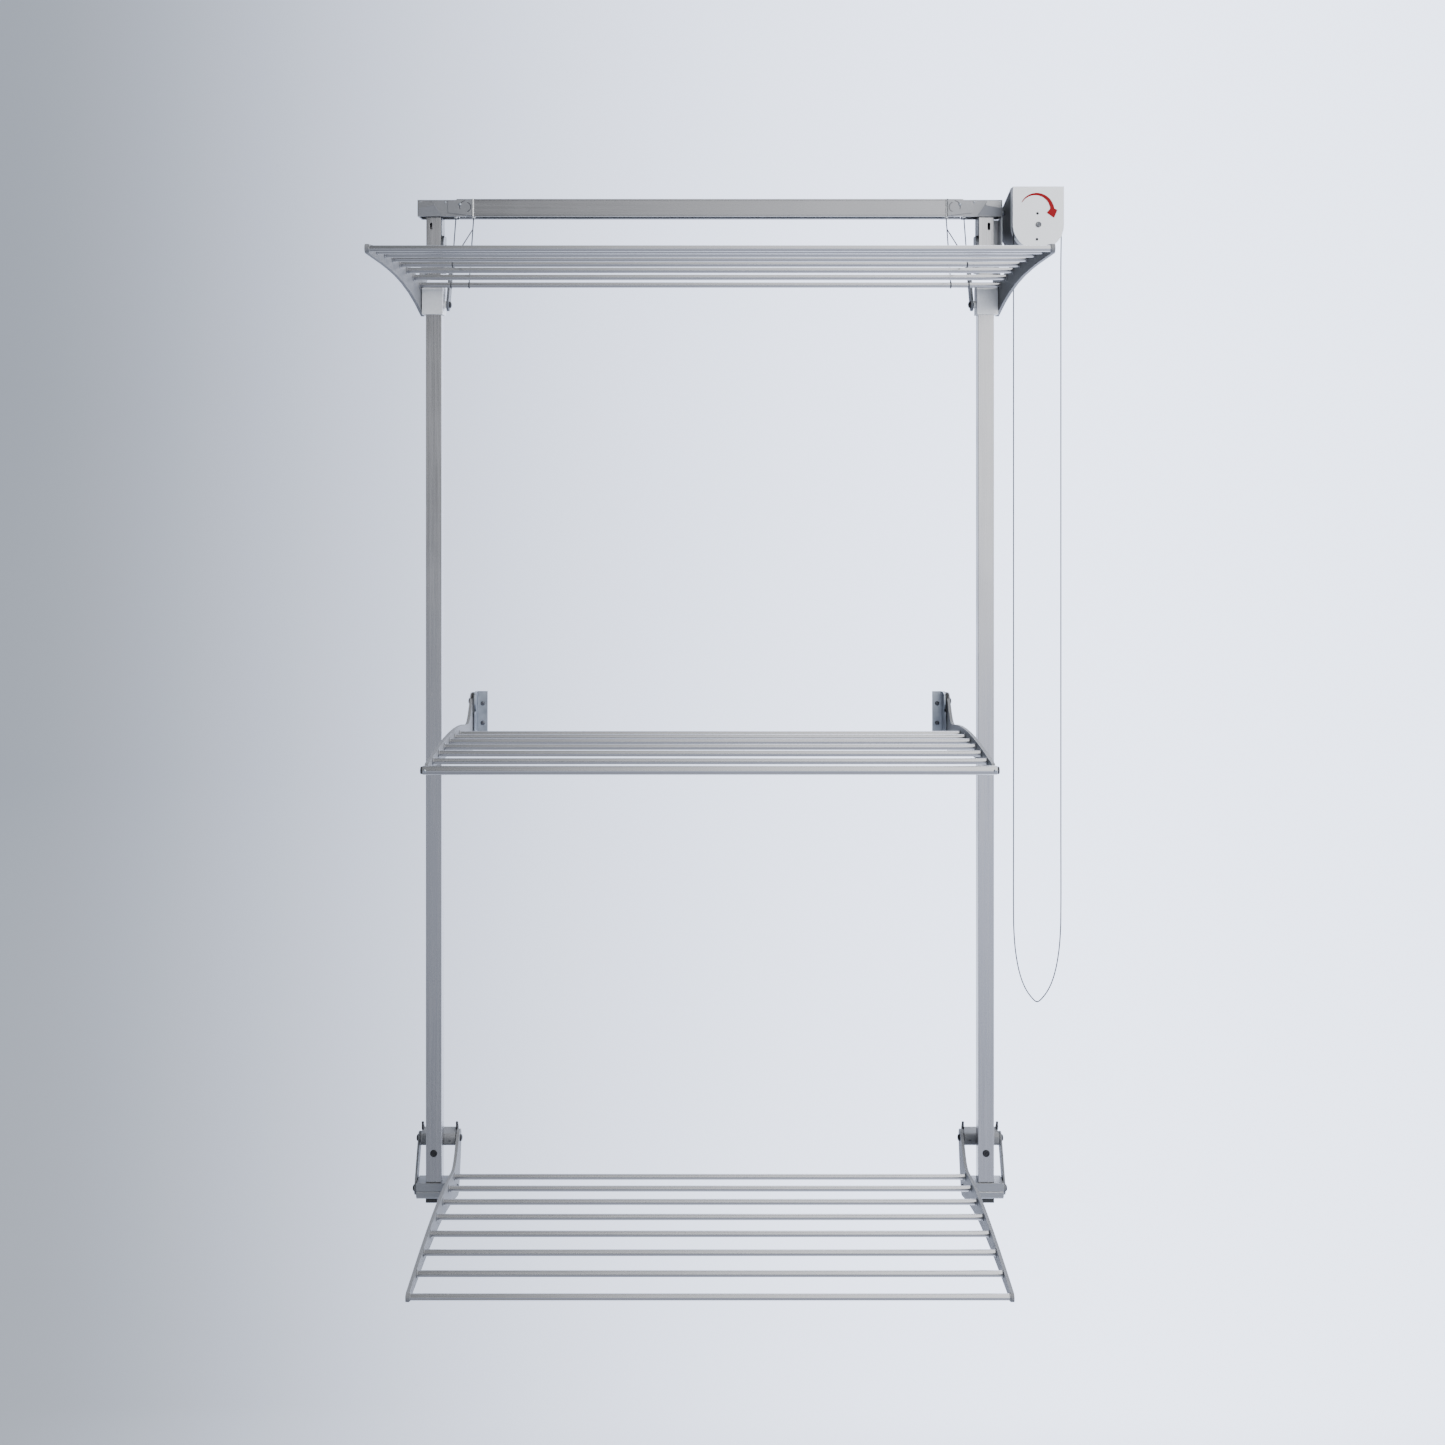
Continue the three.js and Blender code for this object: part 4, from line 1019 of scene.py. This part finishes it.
def make_drive():
    """The drive box with its cover, arrow, screws and shaft end, and the parts turning inside."""
    refine("drive_housing", "housing", WALL)
    refine("drive_cover", "plastic", WALL, 1.0 * MM, 3)
    low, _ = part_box("drive_cover")
    wheel = JOINT_AT["cord_wheel_turn"]
    middle = Vector((wheel.x, wheel.z))
    make_arrow(middle + Vector((-4.9, 28.0)) * MM, -low.y)
    screws = bmesh.new()
    for x, z in ((-1.8, 22), (-3.0, -29)):
        at = Vector((wheel.x + x * MM, low.y + 0.1 * MM, wheel.z + z * MM))
        add_screw(screws, 2.5 * MM, 1.3 * MM, at)
    make_piece("drive_cover_screws", screws, "black", WALL)
    boss = bmesh.new()
    ring = [
        (3.4 * MM, 0), (5.6 * MM, 0), (5.6 * MM, 0.9 * MM), (5.1 * MM, 1.3 * MM),
        (4.0 * MM, 1.3 * MM), (3.4 * MM, 0.9 * MM),
    ]
    at = Vector((wheel.x, low.y + 0.1 * MM, wheel.z))
    add_lathe(boss, ring, at, TOWARDS_ROOM, 32)
    make_piece("drive_shaft_ring", boss, "housing", WALL)
    nut = bmesh.new()
    nut_at = at - Vector((0, 0.3 * MM, 0))
    add_lathe(nut, rounded_rod(3.0 * MM, 1.0 * MM, 0.3 * MM), nut_at, TOWARDS_ROOM, 6)
    make_piece("drive_shaft_end", nut, "dark_steel", WALL)
    for node, material in (
        ("cord_wheel", "nylon"), ("worm_shaft", "steel"), ("drive_shaft", "steel"),
        ("left_spool", "nylon"), ("right_spool", "nylon"),
    ):
        data = frame["nodes"][node].data
        if data.materials:
            data.materials[0] = MATERIALS[material]
        else:
            data.materials.append(MATERIALS[material])


# ---- cords -------------------------------------------------------------------------------------
def catmull_rom(points, samples):
    """Points along a centripetal Catmull-Rom curve through the given points."""
    ghost_start = points[0] * 2 - points[1]
    ghost_end = points[-1] * 2 - points[-2]
    chain = [ghost_start, *points, ghost_end]
    made = []
    for index in range(1, len(chain) - 2):
        p0, p1, p2, p3 = chain[index - 1: index + 3]
        t0 = 0.0
        t1 = t0 + math.sqrt((p1 - p0).length)
        t2 = t1 + math.sqrt((p2 - p1).length)
        t3 = t2 + math.sqrt((p3 - p2).length)
        for step in range(samples):
            t = t1 + (t2 - t1) * step / samples
            a1 = p0 * ((t1 - t) / (t1 - t0)) + p1 * ((t - t0) / (t1 - t0))
            a2 = p1 * ((t2 - t) / (t2 - t1)) + p2 * ((t - t1) / (t2 - t1))
            a3 = p2 * ((t3 - t) / (t3 - t2)) + p3 * ((t - t2) / (t3 - t2))
            b1 = a1 * ((t2 - t) / (t2 - t0)) + a2 * ((t - t0) / (t2 - t0))
            b2 = a2 * ((t3 - t) / (t3 - t1)) + a3 * ((t - t1) / (t3 - t1))
            made.append(b1 * ((t2 - t) / (t2 - t1)) + b2 * ((t - t1) / (t2 - t1)))
    made.append(points[-1])
    return made


def pull_cord_route():
    """The loop's route: down from the wheel, round the bottom, up, and over the wheel."""
    wheel = JOINT_AT["cord_wheel_turn"]
    radius = 46.8 * MM
    drop = [
        (46.8, -46), (46.8, -130), (46.8, -400), (46.8, -700), (46.8, -1000), (46.8, -1250),
        (46.8, -1400), (46, -1440), (42.5, -1482), (35, -1522), (25, -1550), (13, -1569), (0, -1580),
    ]
    points = [Vector((wheel.x - side * MM, wheel.y, z * MM)) for side, z in drop]
    points += [Vector((wheel.x + side * MM, wheel.y, z * MM)) for side, z in drop[-2::-1]]
    wrap_steps = 9
    wrap_gap = 0.06
    for step in range(1, wrap_steps + 1):
        angle = (math.pi - wrap_gap) * step / wrap_steps
        x = wheel.x + radius * math.cos(angle)
        points.append(Vector((x, wheel.y, wheel.z + radius * math.sin(angle))))
    return points


def make_pull_cord():
    """The endless cord that turns the wheel by hand."""
    centreline = catmull_rom(pull_cord_route(), 6)
    data = bpy.data.curves.new("pull_cord_shown", "CURVE")
    data.dimensions = "3D"
    data.bevel_depth = CORD_RADIUS
    data.bevel_resolution = 3
    data.use_fill_caps = True
    spline = data.splines.new("POLY")
    spline.points.add(len(centreline) - 1)
    for point, place in zip(spline.points, centreline):
        point.co = (*place, 1.0)
    cord = bpy.data.objects.new("pull_cord_shown", data)
    add_to_scene(cord)
    cord.data.materials.append(MATERIALS["cord"])
    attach(cord, WALL)
    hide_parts("pull_cord")


def add_tube(shape, path, radius):
    """Adds a round tube along a path, with flat ends."""
    sides = 10
    rings = []
    for index, point in enumerate(path):
        before = path[max(index - 1, 0)]
        after = path[min(index + 1, len(path) - 1)]
        tangent = (after - before).normalized()
        across = tangent.cross(ALONG_X).normalized()
        up = across.cross(tangent).normalized()
        ring = []
        for step in range(sides):
            angle = 2 * math.pi * step / sides
            offset = (across * math.cos(angle) + up * math.sin(angle)) * radius
            ring.append(shape.verts.new(point + offset))
        rings.append(ring)
    for low, high in zip(rings, rings[1:]):
        for step in range(sides):
            after = (step + 1) % sides
            shape.faces.new((low[step], low[after], high[after], high[step]))
    shape.faces.new(rings[0][::-1])
    shape.faces.new(rings[-1])


def even_path(points):
    """The same polyline with a point every few millimetres."""
    spacing = 4 * MM
    made = [points[0]]
    for start, end in zip(points, points[1:]):
        steps = max(1, round((end - start).length / spacing))
        made += [start.lerp(end, step / steps) for step in range(1, steps + 1)]
    return made


def make_cord_ties(word, tied):
    """The loops that tie the lift cords round the rods; tied lists each rod and its X."""
    ties = bmesh.new()
    half = CORD_RADIUS
    for (centre, rod_radius, _), x in tied:
        inside = rod_radius + 0.05 * MM
        shoulder = rod_radius + 1.1 * MM
        profile = [
            (inside, -half), (shoulder, -half), (rod_radius + 1.5 * MM, 0), (shoulder, half),
            (inside, half),
        ]
        add_lathe(ties, profile, Vector((x, centre.y, centre.z)), ALONG_X, 28)
    make_piece(f"{word}_cord_ties", ties, "cord", "top_shelf")


def make_lift_cords(word, side):
    """An outer cord to the first rod, and an inner one that splits to the first and fourth rods."""
    start_z = -9 * MM
    first_rod = rod_place("top_rod_1")
    fourth_rod = rod_place("top_rod_4")

    def rod_top(rod, x):
        centre, rod_radius, _ = rod
        return Vector((x, centre.y, centre.z + rod_radius + 0.6 * CORD_RADIUS))

    shape = bmesh.new()
    inner_x, outer_x = [side * x for x in LIFT_CORD_X]
    inner_start = Vector((inner_x, -LIFT_CORD_FORWARD, start_z))
    inner_exit = Vector((inner_x, -LIFT_CORD_FORWARD, UNDER_BAR))
    split = Vector((inner_x, -50 * MM, -44 * MM))
    outer_start = Vector((outer_x, -LIFT_CORD_FORWARD, start_z))
    outer_exit = Vector((outer_x, -LIFT_CORD_FORWARD, UNDER_BAR))
    for path in (
        [inner_start, inner_exit, split],
        [split, rod_top(first_rod, inner_x)],
        [split, rod_top(fourth_rod, inner_x)],
        [outer_start, outer_exit, rod_top(first_rod, outer_x)],
    ):
        add_tube(shape, even_path(path), CORD_RADIUS)
    cords = make_piece(f"{word}_lift_cords", shape, "cord", None)
    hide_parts(f"{word}_lift_cord")
    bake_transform(cords)
    make_cord_ties(word, ((first_rod, inner_x), (fourth_rod, inner_x), (first_rod, outer_x)))


# ---- the whole rack ----------------------------------------------------------------------------
make_camera()
make_pull_cord()
make_lights()
make_floor()
make_bar()
for side_word, side_sign in SIDES:
    make_end_bracket(side_word, side_sign)
    make_leg(side_word, side_sign)
    make_mid_bracket(side_word, side_sign)
    make_bottom_bracket(side_word, side_sign)
    make_swing_side(side_word, side_sign)
    make_lift_cords(side_word, side_sign)
make_drive_strip()
for shelf_name in SHELF_BODY:
    make_shelf(shelf_name)
make_rail_caps()
make_painted_shade_rings()
make_pivots()
make_drive()
